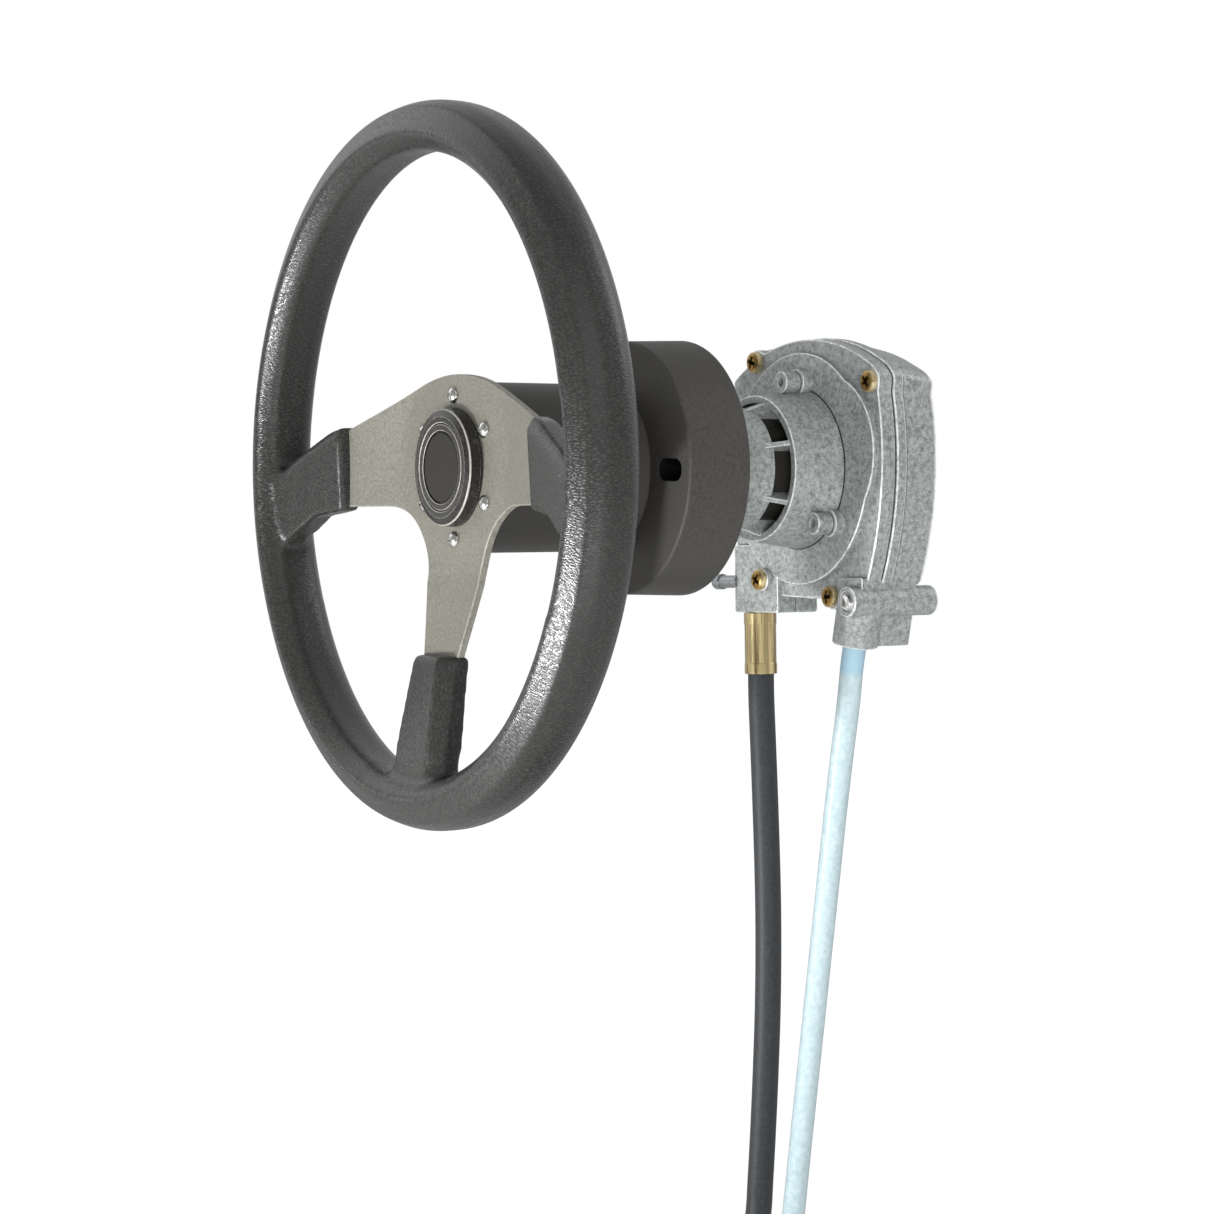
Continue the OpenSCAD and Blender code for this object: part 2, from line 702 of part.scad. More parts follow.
module nut_washer() {
    color("#b4b6b8") ring_solid(washer_d / 2, thread_r, recess_y - washer_t, washer_t);
}

module steering_shaft() {
    groove_r = shaft_end_d / 2 - clip_t / 2;
    color("#8f9397") difference() {
        lathe([[0, shaft_front_y], [thread_r, shaft_front_y], [thread_r, recess_y],
            [taper_small_r, recess_y], [shaft_r, recess_y + taper_len], [shaft_r, gear_y],
            [shaft_end_d / 2, gear_y], [shaft_end_d / 2, shaft_end_y], [0, shaft_end_y]]);
        ring_solid(shaft_end_d / 2 + over, groove_r, clip_y, clip_t);
        key_blank();
    }
}

module shaft_key() {
    color("#c2b280") key_blank();
}

module sun_gear() {
    color("#a3a6a8") difference() {
        slab(gear_y, gear_w) polygon(gear_points(sun_teeth, tooth_tall, tooth_deep, gear_play));
        bar(shaft_end_d / 2, gear_y - over, gear_w + 2 * over);
    }
}

module shaft_clip() {
    clip_w = 3;
    groove_r = shaft_end_d / 2 - clip_t / 2;
    color("#5c5f62") rotate([-90, 0, 0]) translate([0, 0, clip_y]) rotate([0, 0, 15])
        rotate_extrude(angle = 330) translate([groove_r, 0]) square([clip_w, clip_t]);
}

// Places of the planet gears, turned about the steering axis
module at_planet(k) {
    rotate([0, -k * 120, 0]) translate([orbit_r, 0, 0]) children();
}

module cable_drum() {
    color("#8a7f6a") difference() {
        ring_solid(drum_r, shaft_r + run_clear, drum_y, drum_t);
        rotate([-90, 0, 0]) translate([0, 0, cable_y]) rotate_extrude() translate([drum_r, 0])
            circle(core_cable_d / 2 + core_room);
        for (k = [0 : 2]) at_planet(k) bar(pin_d / 2, drum_y + drum_t / 3, drum_t);
    }
}

module planet_pins() {
    pin_y = drum_y + drum_t / 3;
    color("#9fa2a4") for (k = [0 : 2]) at_planet(k) bar(pin_d / 2, pin_y, carrier_y + carrier_t - pin_y);
}

module carrier_plate() {
    color("#8d9093") difference() {
        ring_solid(orbit_r + pin_d, shaft_end_d / 2 + run_clear, carrier_y, carrier_t);
        for (k = [0 : 2]) at_planet(k) bar(pin_d / 2, carrier_y - over, carrier_t + 2 * over);
    }
}

// A planet's gaps face the sun's tooth and the ring's tooth that point at it
module planet_gear(k) {
    color("#c9b36a") at_planet(k) difference() {
        slab(gear_y, gear_w) rotate(180 / planet_teeth)
            polygon(gear_points(planet_teeth, tooth_tall, tooth_deep, gear_play));
        bar(pin_d / 2 + run_clear, gear_y - over, gear_w + 2 * over);
    }
}

module ring_gear() {
    color("#d9d4c4") difference() {
        bar(ring_r, gear_y, gear_w);
        slab(gear_y - over, gear_w + 2 * over) rotate(180 / ring_teeth)
            polygon(gear_points(ring_teeth, tooth_deep, tooth_tall, -gear_play));
    }
}

// A bar with two round ends, which lies on the bolt circle and points at the axis
module slot_bar(r, y, length) {
    for (side = [-1, 1]) bar(r, y, length, [lug_pcd / 2 + side * bezel_slot_run / 2, 0]);
    translate([lug_pcd / 2 - bezel_slot_run / 2, y, -r]) cube([bezel_slot_run, length, 2 * r]);
}

module bezel() {
    front_r = bezel_front_d / 2;
    rear_r = bezel_rear_d / 2;
    edge = 1.5;
    collar_r = nose_d / 2 + slip;
    tube_r = bezel_hole_d / 2 + bezel_tube_wall;
    tube_len = bezel_depth - bezel_face - over;
    color("#272623") difference() {
        union() {
            lathe([[shaft_r + shaft_room, bezel_front_y], [front_r - edge, bezel_front_y],
                [front_r, bezel_front_y + edge], [rear_r, bezel_rear_y], [rear_r - bezel_wall, bezel_rear_y],
                [front_r - bezel_wall, nose_front_y], [shaft_r + shaft_room, nose_front_y]]);
            ring_solid(collar_r + collar_t, collar_r, nose_front_y - over, bezel_depth - bezel_face);
            around(lug_count, bezel_hole_first) slot_bar(tube_r, nose_front_y - over, tube_len);
        }
        bar(collar_r, nose_front_y, bezel_depth);
        around(lug_count, bezel_hole_first)
            slot_bar(bezel_hole_d / 2, bezel_front_y - over, bezel_depth + 2 * over);
    }
}

// The housing as seen from the driver: four bowed sides, with the corners rounded about the axis
module casting_blank(y, length) {
    side_middle_z = 6;
    intersection() {
        bar(side_bow_r, y, length, [casting_half_w - side_bow_r, side_middle_z]);
        bar(side_bow_r, y, length, [side_bow_r - casting_half_w, side_middle_z]);
        bar(top_bow_r, y, length, [0, casting_half_h - top_bow_r]);
        bar(low_bow_r, y, length, [0, low_bow_r - casting_half_h]);
        bar(casting_corner_r, y, length);
    }
}

// The housing with the ears of its screws and its cable inlet block
module housing_blank(y, length, block_y, block_len) {
    casting_blank(y, length);
    for (place = cover_screws) bar(ear_r, y, length, place);
    translate([inlet_x, block_y, -inlet_low]) cube([inlet_w, block_len, inlet_low - inlet_high]);
}

// Room inside the housing for the cable core and for the ferrule's spigot
module cable_ways() {
    way_r = core_cable_d / 2 + core_room;
    bay_z = -sqrt((cavity_d / 2) ^ 2 - drum_r ^ 2) + 4 * over;
    translate([cable_x, cable_y, -inlet_low - over]) cylinder(r = spigot_d / 2, h = spigot_len + over);
    translate([cable_x, cable_y, spigot_top_z - over]) cylinder(r = way_r, h = bay_z - spigot_top_z + over);
    translate([tube_x, cable_y, -clamp_low]) cylinder(r = way_r, h = clamp_low + bay_z);
}

module lock_blank() {
    translate([inlet_x - lock_out, lock_y, -lock_low]) rotate([0, 90, 0])
        cylinder(r = lock_d / 2, h = lock_out + inlet_side + spigot_d / 2);
}

module cover_screw_holes(r, y, length) {
    for (place = cover_screws) bar(r, y, length, place);
}

module front_housing() {
    rib_low = neck_d / 2 - over;
    rib_high = pocket_r + boss_wall / 2;
    pocket_y = lug_len / 4;
    color("#9c9d9b") difference() {
        union() {
            lathe([[0, nose_front_y], [nose_d / 2, nose_front_y], [nose_d / 2, nose_shoulder_y],
                [neck_d / 2, nose_shoulder_y], [neck_d / 2, pocket_y], [pocket_r, pocket_y],
                [pocket_r, -boss_fore], [boss_front_d / 2, -boss_fore], [boss_root_d / 2, disc_y],
                [disc_d / 2, disc_y], [disc_d / 2, parting_y], [0, parting_y]]);
            around(rib_count, rib_first) translate([0, 0, -rib_t / 2]) linear_extrude(rib_t)
                polygon([[rib_low, nose_shoulder_y - groove_w],
                    [nose_d / 2 - over, nose_shoulder_y - groove_w], [rib_high, -boss_fore + over],
                    [rib_high, pocket_y + over], [rib_low, pocket_y + over]]);
            bar(disc_bulge_r, disc_y, parting_y - disc_y, bulge_out * [cos(bulge_at), sin(bulge_at)]);
            around(lug_count, lug_first) {
                bar(lug_d / 2, 0, disc_y + over, [lug_pcd / 2, 0]);
                bar(lug_root_d / 2, disc_y - lug_root_len, lug_root_len + over, [lug_pcd / 2, 0]);
            }
            housing_blank(flange_y, flange_t, inlet_y, parting_y - inlet_y);
        }
        bar(cavity_d / 2, cavity_y, parting_y);
        bar(bore_r, nose_front_y - over, seal_t + nose_bush_len + over);
        bar(shaft_r + shaft_room, nose_front_y, cavity_y - nose_front_y + over);
        bar(bore_r, cavity_y - boss_bush_len, boss_bush_len + over);
        around(lug_count, lug_first)
            bar(lug_hole_d / 2, -over, lug_hole_depth + over, [lug_pcd / 2, 0]);
        cover_screw_holes(cover_screw_d / 2 + slip, inlet_y - over, parting_y - inlet_y + 2 * over);
        cable_ways();
        lock_blank();
    }
}

module rear_cover() {
    lip = 5;
    color("#96989a") difference() {
        intersection() {
            housing_blank(cover_y, cover_depth, cover_y, inlet_back);
            translate([0, cover_y + lip, casting_half_h]) rotate([-cover_slope, 0, 0])
                bar(top_bow_r, -cover_depth, 3 * cover_depth, [0, -top_bow_r]);
        }
        bar(ring_r, cover_y - over, gear_bay_y - cover_y + over);
        bar(end_bush_d / 2, gear_bay_y - over, end_bush_len + over);
        cover_screw_holes(cover_screw_d / 2, cover_y - over, cover_screw_grip + over);
        cable_ways();
    }
}

module housing_gasket() {
    color("#4a4d4f") difference() {
        housing_blank(parting_y, gasket_t, parting_y, gasket_t);
        bar(cavity_d / 2, parting_y - over, gasket_t + 2 * over);
        cover_screw_holes(cover_screw_d / 2 + slip, parting_y - over, gasket_t + 2 * over);
        cable_ways();
    }
}

// Pan head screw with a cross recess, its head's seat at y
module cover_screw(place, y) {
    shank = cover_y + cover_screw_grip - y;
    slot = [cover_head_d * 0.55, cover_head_h, cover_head_d * 0.14];
    difference() {
        union() {
            bar(cover_screw_d / 2, y, shank, place);
            translate([place[0], 0, place[1]]) lathe([[0, y - cover_head_h],
                [cover_head_d * 0.36, y - cover_head_h], [cover_head_d / 2, y - cover_head_h * 0.4],
                [cover_head_d / 2, y], [0, y]]);
        }
        for (turn = [0, 90]) translate([place[0], y - cover_head_h - slot[1] * 0.4, place[1]])
            rotate([0, turn, 0]) translate([-slot[0] / 2, 0, -slot[2] / 2]) cube(slot);
    }
}

module housing_screws() {
    color("#c9a85a") for (k = [0 : len(cover_screws) - 1])
        cover_screw(cover_screws[k], k == inlet_screw ? inlet_y : flange_y);
}

module nose_bush() {
    color("#b08d57") ring_solid(bore_r, shaft_r + run_clear, nose_front_y + seal_t, nose_bush_len);
}

module boss_bush() {
    color("#b08d57") ring_solid(bore_r, shaft_r + run_clear, cavity_y - boss_bush_len, boss_bush_len);
}

module end_bush() {
    color("#b08d57") ring_solid(end_bush_d / 2, shaft_end_d / 2 + run_clear, end_bush_y, end_bush_len);
}

module shaft_seal() {
    color("#1d1d1d") ring_solid(bore_r, shaft_r + run_clear, nose_front_y, seal_t);
}

module thrust_washer() {
    color("#d8d2bd") ring_solid(thrust_d / 2, shaft_r + side_play, cavity_y, thrust_t);
}

// The core comes up out of the ferrule, runs over the drum and goes down towards the tube
module cable_core() {
    core_r = core_cable_d / 2;
    core_end_z = -barrel_low + clamp_bolt_d;
    color("#6f7376") {
        translate([cable_x, cable_y, spigot_top_z]) cylinder(r = core_r, h = -spigot_top_z);
        translate([tube_x, cable_y, core_end_z]) cylinder(r = core_r, h = -core_end_z);
        translate([0, cable_y, 0]) rotate([90, 0, 0]) rotate_extrude(angle = 180)
            translate([drum_r, 0]) circle(core_r);
    }
}

module cable_ferrule() {
    slot = [ferrule_d, 2.4, 6];
    slot_z = -inlet_low - 2 - slot[2];
    color("#b8913f") difference() {
        translate([cable_x, cable_y, ferrule_low_z]) {
            cylinder(r = ferrule_d / 2, h = ferrule_len);
            cylinder(r = spigot_d / 2, h = ferrule_len + spigot_len);
        }
        translate([cable_x - slot[0] / 2, cable_y - ferrule_d / 2 - over, slot_z]) cube(slot);
        lock_blank();
    }
}

module lock_pin() {
    head_x = inlet_x - lock_out;
    color("#b9bcbe") {
        lock_blank();
        translate([head_x - lock_head_len, lock_y, -lock_low]) rotate([0, 90, 0])
            cylinder(r = lock_head_d / 2, h = lock_head_len);
    }
}

// The clamp hangs under the housing: a saddle, a barrel for its bolt, and a leaning block
module tube_clamp() {
    block_top = barrel_low + lean_z;
    block_low = clamp_low + lean_z;
    barrel_r = barrel_d / 2;
    block_h = (block_low - block_top) / cos(tube_lean);
    saddle_len = cable_y + clamp_depth - disc_y - 2 * over;
    color("#a2a4a5") difference() {
        union() {
            bar(barrel_r, barrel_y, barrel_len, [barrel_side, -barrel_low]);
            translate([tube_x, cable_y, lean_z]) rotate([0, tube_lean, 0])
                translate([0, 0, -block_low / cos(tube_lean)]) {
                    cylinder(r = clamp_boss_d / 2, h = block_h);
                    translate([clamp_boss_d / 4 - clamp_w, 0, 0]) cube([clamp_w, clamp_depth, block_h]);
                }
            translate([tube_x - tube_d, disc_y, -barrel_low - barrel_r / 2])
                cube([tube_d + barrel_r, saddle_len, barrel_low + barrel_r / 2 + lean_z]);
        }
        casting_blank(flange_y, back_y - flange_y);
        cover_screw_holes(ear_r, flange_y, back_y - flange_y);
        translate([tube_x, cable_y, -inlet_low - over])
            cylinder(r = core_cable_d / 2 + core_room, h = inlet_low);
        translate(on_lean(tube_top_z)) rotate([0, tube_lean, 0]) translate([0, 0, -clamp_low])
            cylinder(r = tube_d / 2 + slip, h = clamp_low);
        cover_screw_holes(cover_head_d / 2 + slip, inlet_y, flange_y - inlet_y + over);
        bar(clamp_bolt_d / 2, barrel_y - over, clamp_bolt_len + over, [barrel_side, -barrel_low]);
        bar(clamp_head_d / 2 + slip, barrel_y - over, clamp_head_depth + over, [barrel_side, -barrel_low]);
    }
}

module clamp_bolt() {
    color("#c5c7c8") {
        bar(clamp_bolt_d / 2, barrel_y, clamp_bolt_len, [barrel_side, -barrel_low]);
        bar(clamp_head_d / 2, barrel_y - clamp_head_out, clamp_head_depth + clamp_head_out,
            [barrel_side, -barrel_low]);
    }
}

module spent_tube() {
    color("#d5e8ef") sweep(tube_route, tube_d / 2, [0, 1, 0], 12);
}

// Plug that closes the tube's lower end, square to the tube's last stretch
module tube_plug() {
    plug_lip = 1;
    last = len(tube_route) - 1;
    end_heading = unit(tube_route[last] - tube_route[last - 1]);
    lean = atan2(-end_heading[0], -end_heading[2]);
    color("#e6e4da") translate(tube_route[last]) rotate([0, lean, 0]) mirror([0, 0, 1])
        cylinder(r = tube_d / 2 + plug_lip, h = tube_plug_len);
}

module steering_cable() {
    color("#2e2e2c") sweep(cable_route, cable_r, [1, 0, 0], 10);
}

// The coil: its turns spiral in, climb in the half turn where the spiral reverses, and spiral out
rings_per_turn = 24;
function coil_rise(t) = let (s = min(1, max(0, (t - coil_turns / 2) * 2 + 0.5))) s * s * (3 - 2 * s);
function coil_at(t) = let (r = coil_in_r + coil_pitch * abs(t - coil_turns / 2), a = 180 + 360 * t)
    [coil_x + r * cos(a), coil_y + r * sin(a), lay_z + coil_pitch * coil_rise(t)];
coil_turn_points = [for (k = [0 : rings_per_turn * coil_turns]) coil_at(k / rings_per_turn)];
coil_points = concat([coil_turn_points[0] + [0, cable_d, 0]], coil_turn_points,
    [coil_turn_points[rings_per_turn * coil_turns] - [0, cable_d, 0]]);
coil_least_gap = min([for (i = [0 : len(coil_points) - 1], j = [0 : len(coil_points) - 1])
    if (j - i > rings_per_turn / 2) norm(coil_points[j] - coil_points[i])]) - cable_d;
echo(coil_least_gap = coil_least_gap);

module cable_coil() {
    color("#2e2e2c") sweep(coil_points, cable_r, [0, 0, 1], 6);
}

module cable_tail() {
    color("#2e2e2c") sweep(tail_route, cable_r, [1, 0, 0], 10);
}

// Strap round the bundle of turns, on the side away from the cable's two ends
module coil_tie() {
    inner_w = coil_pitch * (coil_turns / 2 - 1) + cable_d + 2 * slip;
    inner_h = coil_pitch + cable_d + 2 * slip;
    middle_r = coil_in_r + coil_pitch * coil_turns / 4;
    color("#1f1f1e") translate([coil_x + middle_r, coil_y - tie_w / 2, floor_z])
        difference() {
            translate([-inner_w / 2 - tie_t, 0, 0]) cube([inner_w + 2 * tie_t, tie_w, inner_h + 2 * tie_t]);
            translate([-inner_w / 2, -over, tie_t]) cube([inner_w, tie_w + 2 * over, inner_h]);
        }
}

// Pieces at the cable's far end, in line with the last stretch of the cable
module at_far_end(offset) {
    translate([coil_start_x, tail_end_y - offset, far_z]) rotate([90, 0, 0]) children();
}

module end_sleeve() {
    color("#a8abad") at_far_end(0) cylinder(r = sleeve_d / 2, h = sleeve_len);
}

module coupling_nut() {
    color("#b7babc") at_far_end(sleeve_len)
        cylinder(r = coupling_af / 2 / cos(30), h = coupling_len, $fn = 6);
}

module end_cap() {
    color("#b3261e") at_far_end(sleeve_len + coupling_len) cylinder(r = end_cap_d / 2, h = end_cap_len);
}

wheel_rim();
rim_core();
spoke_plate();
wheel_hub();
hub_screws();
centre_cap();
cap_ring();
cap_badge();
shaft_nut();
nut_washer();
steering_shaft();
shaft_key();
sun_gear();
shaft_clip();
cable_drum();
planet_pins();
carrier_plate();
planet_gear(0);  // planet_gear_1
planet_gear(1);  // planet_gear_2
planet_gear(2);  // planet_gear_3
bezel();
front_housing();
rear_cover();
housing_gasket();
housing_screws();
nose_bush();
boss_bush();
end_bush();
shaft_seal();
ring_gear();
thrust_washer();
cable_core();
cable_ferrule();
lock_pin();
tube_clamp();
clamp_bolt();
spent_tube();
tube_plug();
steering_cable();
cable_coil();
cable_tail();
coil_tie();
end_sleeve();
coupling_nut();
end_cap();
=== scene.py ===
"""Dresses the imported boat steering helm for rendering.

The CAD solids are the fixed frame. Each class below is one sub-assembly of the helm: it holds its sizes
in millimetres, in the CAD frame (steering axis Y with the driver at -Y, +Z up, the origin on the axis at
the mounting lugs), works out its surfaces as numpy arrays and dresses them in procedural finishes.
"""

from __future__ import annotations

import logging
import math
from dataclasses import dataclass
from enum import Enum
from typing import Sequence

import bmesh
import bpy
import numpy as np
from mathutils import Matrix

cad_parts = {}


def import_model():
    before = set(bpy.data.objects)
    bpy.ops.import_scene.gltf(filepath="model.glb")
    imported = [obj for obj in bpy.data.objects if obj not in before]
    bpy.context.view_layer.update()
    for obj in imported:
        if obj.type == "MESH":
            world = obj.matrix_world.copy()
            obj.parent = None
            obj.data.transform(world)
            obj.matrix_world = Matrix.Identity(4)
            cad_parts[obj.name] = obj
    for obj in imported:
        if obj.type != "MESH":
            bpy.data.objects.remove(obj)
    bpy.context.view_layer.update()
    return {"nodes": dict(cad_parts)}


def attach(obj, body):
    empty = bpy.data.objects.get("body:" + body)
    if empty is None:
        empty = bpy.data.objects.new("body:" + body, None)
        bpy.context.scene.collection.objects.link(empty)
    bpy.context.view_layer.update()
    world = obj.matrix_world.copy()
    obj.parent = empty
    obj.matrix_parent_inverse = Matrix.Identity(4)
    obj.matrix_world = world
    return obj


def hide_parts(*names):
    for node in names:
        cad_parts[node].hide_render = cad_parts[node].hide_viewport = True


LOG = logging.getLogger("helm")
Array = np.ndarray
# Metres in a millimetre.
MM = 0.001
TURN = 2.0 * math.pi
# Radius of the grip's middle line, along which its leather grain is laid out, in millimetres.
RIM_R = 162.7
# Edges that turn more than this stay sharp, where a piece names no other angle.
SHARP_DEGREES = 40.0


# Shapes


@dataclass
class Shell:
    """A surface in millimetres: its points, its faces as rows of indices, and a painted-light mark for each point.

    The mark is 1 on an edge, for a painted highlight, 0 on a plain surface, and -1 for painted shade in a recess
    or for a finish's second tone.
    """

    points: Array
    faces: list[Array]
    painted_light_and_tone: Array

    def moved(self, offset: Sequence[float] = (0.0, 0.0, 0.0), turn: Array | None = None) -> Shell:
        """Turns the shell by a 3 by 3 matrix, then shifts it.

        Args:
            offset: Shift in millimetres.
            turn: Rotation, or None for no turn.

        Returns:
            A new shell in its new place.
        """
        points = self.points if turn is None else self.points @ turn.T
        return Shell(points + np.asarray(offset, float), self.faces, self.painted_light_and_tone)

    def laid(self, order: str) -> Shell:
        """The shell with its axes in another order: "xzy" stands a turned piece up, "yxz" lays it across."""
        return Shell(self.points[:, ["xyz".index(axis) for axis in order]], self.faces, self.painted_light_and_tone)


def joined(shells: Sequence[Shell]) -> Shell:
    """Puts several shells into one, each keeping its own faces.

    Args:
        shells: The shells to join.

    Returns:
        One shell that holds them all.
    """
    starts = np.cumsum([0] + [len(s.points) for s in shells[:-1]])
    faces = [f + start for s, start in zip(shells, starts) for f in s.faces]
    return Shell(np.concatenate([s.points for s in shells]), faces, np.concatenate([s.painted_light_and_tone for s in shells]))


def turned_about(axis: str, degrees: float) -> Array:
    """Rotation matrix about a frame axis by the right-hand rule.

    Args:
        axis: "x", "y" or "z".
        degrees: Angle of the turn.

    Returns:
        A 3 by 3 matrix.
    """
    c, s = math.cos(math.radians(degrees)), math.sin(math.radians(degrees))
    i = "xyz".index(axis)
    j, k = (i + 1) % 3, (i + 2) % 3
    matrix = np.eye(3)
    matrix[j, j], matrix[j, k], matrix[k, j], matrix[k, k] = c, -s, s, c
    return matrix


def ring_stack(rings: Array, painted_light_and_tone: Array | None = None, loop: bool = False) -> Shell:
    """Joins a stack of closed rings into quads: point (i, j) meets (i, j + 1), (i + 1, j + 1) and (i + 1, j).

    Args:
        rings: Points, as rows by columns by 3; the columns close on themselves.
        painted_light_and_tone: Painted-light mark of each row, or of each point.
        loop: Whether the last row meets the first; otherwise a fan of triangles closes each of them.

    Returns:
        The shell.
    """
    rows, cols = rings.shape[:2]
    i = np.arange(rows if loop else rows - 1)[:, None]
    j = np.arange(cols)[None, :]
    a, b = i * cols + j, i * cols + (j + 1) % cols
    c, d = (i + 1) % rows * cols + (j + 1) % cols, (i + 1) % rows * cols + j
    faces = [np.stack([a, b, c, d], -1).reshape(-1, 4)]
    points = rings.reshape(-1, 3)
    painted_light = np.zeros(rows) if painted_light_and_tone is None else np.asarray(painted_light_and_tone, float)
    painted_light = np.repeat(painted_light, cols) if painted_light.ndim == 1 else painted_light.reshape(-1)
    for row in () if loop else (0, rows - 1):
        ring = row * cols + np.arange(cols)
        faces.append(np.stack([ring, np.roll(ring, -1), np.full(cols, len(points))], -1))
        points = np.concatenate([points, rings[row].mean(0, keepdims=True)])
        painted_light = np.append(painted_light, 0.0)
    return Shell(points, faces, painted_light)


def rounded(corners: Array, radii: Sequence[float], closed: bool = False, steps: int = 5) -> tuple[Array, Array]:
    """Rounds the corners of a line by arcs, each a quadratic Bezier curve tangent to both of its sides.

    A point close to each end of an arc keeps the flat beyond it evenly shaded.

    Args:
        corners: Corner points, as (..., corners, 2); leading dimensions are separate lines.
        radii: Radius at each corner. A negative one rounds as much, and its arc is marked for painted shade.
        closed: Whether the line closes on itself. The ends of an open line stay sharp.
        steps: Pieces in each arc.

    Returns:
        The points of the rounded lines, and the painted-light marks along one line: 1 in the middle of a convex
        arc, for a painted highlight, and -1 in the middle of a concave one, for painted shade.
    """
    p = np.asarray(corners, float)
    size = np.asarray(radii, float)
    straight, least_mm, side_share, guard_mm, guard_share = 0.9999, 0.02, 0.48, 0.35, 0.02
    to_before, to_after = np.roll(p, 1, -2) - p, np.roll(p, -1, -2) - p
    len_before = np.linalg.norm(to_before, axis=-1, keepdims=True)
    len_after = np.linalg.norm(to_after, axis=-1, keepdims=True)
    to_before, to_after = to_before / len_before, to_after / len_after
    shorter = np.minimum(len_before, len_after)
    half = np.arccos(np.clip((to_before * to_after).sum(-1), -straight, straight)) / 2
    reach = np.maximum(np.abs(size), least_mm) / np.tan(half)
    reach = np.minimum(reach[..., None], side_share * shorter)
    u = np.linspace(0.0, 1.0, steps + 1)[:, None]
    start, end = (p + to_before * reach)[..., None, :], (p + to_after * reach)[..., None, :]
    arcs = (1 - u) ** 2 * start + 2 * u * (1 - u) * p[..., None, :] + u**2 * end
    reach = reach + np.minimum(guard_mm, guard_share * shorter)
    first, last = (p + to_before * reach)[..., None, :], (p + to_after * reach)[..., None, :]
    arcs = np.concatenate([first, arcs, last], -2)
    painted_light = np.sign(size)[:, None] * np.pad(np.sin(math.pi * u[:, 0]), 1)
    if closed:
        return arcs.reshape(*p.shape[:-2], -1, 2), painted_light.reshape(-1)
    inner = arcs[..., 1:-1, :, :].reshape(*p.shape[:-2], -1, 2)
    line = np.concatenate([p[..., :1, :], inner, p[..., -1:, :]], -2)
    return line, np.concatenate([[0.0], painted_light[1:-1].reshape(-1), [0.0]])


def lathe(corners: Sequence[tuple[float, float, float]], closed: bool = False, sides: int = 96) -> Shell:
    """Turns a rounded outline about the steering axis: (r cos a, y, r sin a).

    Args:
        corners: Radius, Y and corner radius of each corner.
        closed: Whether the outline is a ring clear of the axis; otherwise its ends are closed by flat discs.
        sides: Points round the axis.

    Returns:
        The shell.
    """
    table = np.asarray(corners, float)
    line, painted_light = rounded(table[:, :2], table[:, 2], closed)
    a = np.linspace(0.0, TURN, sides, endpoint=False)
    rings = np.stack(
        [np.outer(line[:, 0], np.cos(a)), np.repeat(line[:, 1:], sides, 1), np.outer(line[:, 0], np.sin(a))], -1
    )
    return ring_stack(rings, painted_light, loop=closed)


def outward(outline: Array) -> Array:
    """Unit normals of a closed outline that runs counter-clockwise: its direction, turned right by 90 degrees.

    Args:
        outline: Points across and up.

    Returns:
        One normal for each point.
    """
    along = np.roll(outline, -1, 0) - np.roll(outline, 1, 0)
    return np.stack([along[:, 1], -along[:, 0]], -1) / np.linalg.norm(along, axis=-1, keepdims=True)


def slab(outline: Array, corners: Sequence[tuple[float, float, float]], closed: bool = False) -> Shell:
    """Carries a closed outline along the steering axis while a rounded profile draws it in.

    The first 2 mm are drawn in square to the outline, and what is more than that towards its middle, so that a
    tight ear never folds over itself.

    Args:
        outline: Points across and up, counter-clockwise, all in sight of their middle.
        corners: How far the outline is drawn in, Y and corner radius of each corner of the profile.
        closed: Whether the profile closes on itself, which leaves a tube; otherwise both ends are closed.

    Returns:
        The shell.
    """
    square_mm = 2.0
    table = np.asarray(corners, float)
    line, painted_light = rounded(table[:, :2], table[:, 2], closed, steps=4)
    from_middle = outline - outline.mean(0)
    from_middle /= np.linalg.norm(from_middle, axis=-1, keepdims=True)
    near = np.minimum(line[:, None, :1], square_mm)
    flat = outline - outward(outline) * near - from_middle * (line[:, None, :1] - near)
    y = np.broadcast_to(line[:, None, 1:], flat[..., :1].shape)
    return ring_stack(np.concatenate([flat[..., :1], y, flat[..., 1:]], -1), painted_light, loop=closed)


def eased(y0: float, y1: float, front: float, back: float) -> list[tuple[float, float, float]]:
    """Profile of a slab with straight sides whose front and back edges are rounded.

    Args:
        y0: Front face.
        y1: Back face.
        front: Radius of the front edge.
        back: Radius of the back edge.

    Returns:
        Corners for a slab.
    """
    flat = 1.4
    return [(flat * front, y0, 0.0), (0.0, y0, front), (0.0, y1, back), (flat * back, y1, 0.0)]


def rectangle(x0: float, z0: float, x1: float, z1: float, radius: float) -> Array:
    """Rounded rectangle across and up, counter-clockwise.

    Args:
        x0: Left side.
        z0: Lower side.
        x1: Right side.
        z1: Upper side.
        radius: Corner radius.

    Returns:
        The outline's points.
    """
    return rounded(np.array([[x0, z0], [x1, z0], [x1, z1], [x0, z1]]), [radius] * 4, closed=True)[0]


def stadium(run: float, radius: float) -> Array:
    """Slot across and up, counter-clockwise: two half circles.

    Args:
        run: Distance between the middles of the half circles.
        radius: Their radius.

    Returns:
        The outline's points.
    """
    a = np.linspace(-math.pi / 2, math.pi / 2, 17)
    half = np.stack([run / 2 + radius * np.cos(a), radius * np.sin(a)], -1)
    return np.concatenate([half, -half])


def screw_head(r: Array, a: Array, y: Array, foot_y: float, painted_light_and_tone: Array | None = None) -> Shell:
    """Round head about the steering axis: the grid (r cos a, y, r sin a), with its last ring carried to a foot.

    Args:
        r: Distances from the axis, as a column.
        a: Angles, as a row.
        y: Height at each distance and angle.
        foot_y: Where the side of the head ends.
        painted_light_and_tone: Painted-light mark of each point, the foot's among them.

    Returns:
        The shell.
    """
    rings = np.stack([r * np.cos(a), y, r * np.sin(a)], -1)
    foot = rings[-1:].copy()
    foot[..., 1] = foot_y
    return ring_stack(np.concatenate([rings, foot]), painted_light_and_tone)


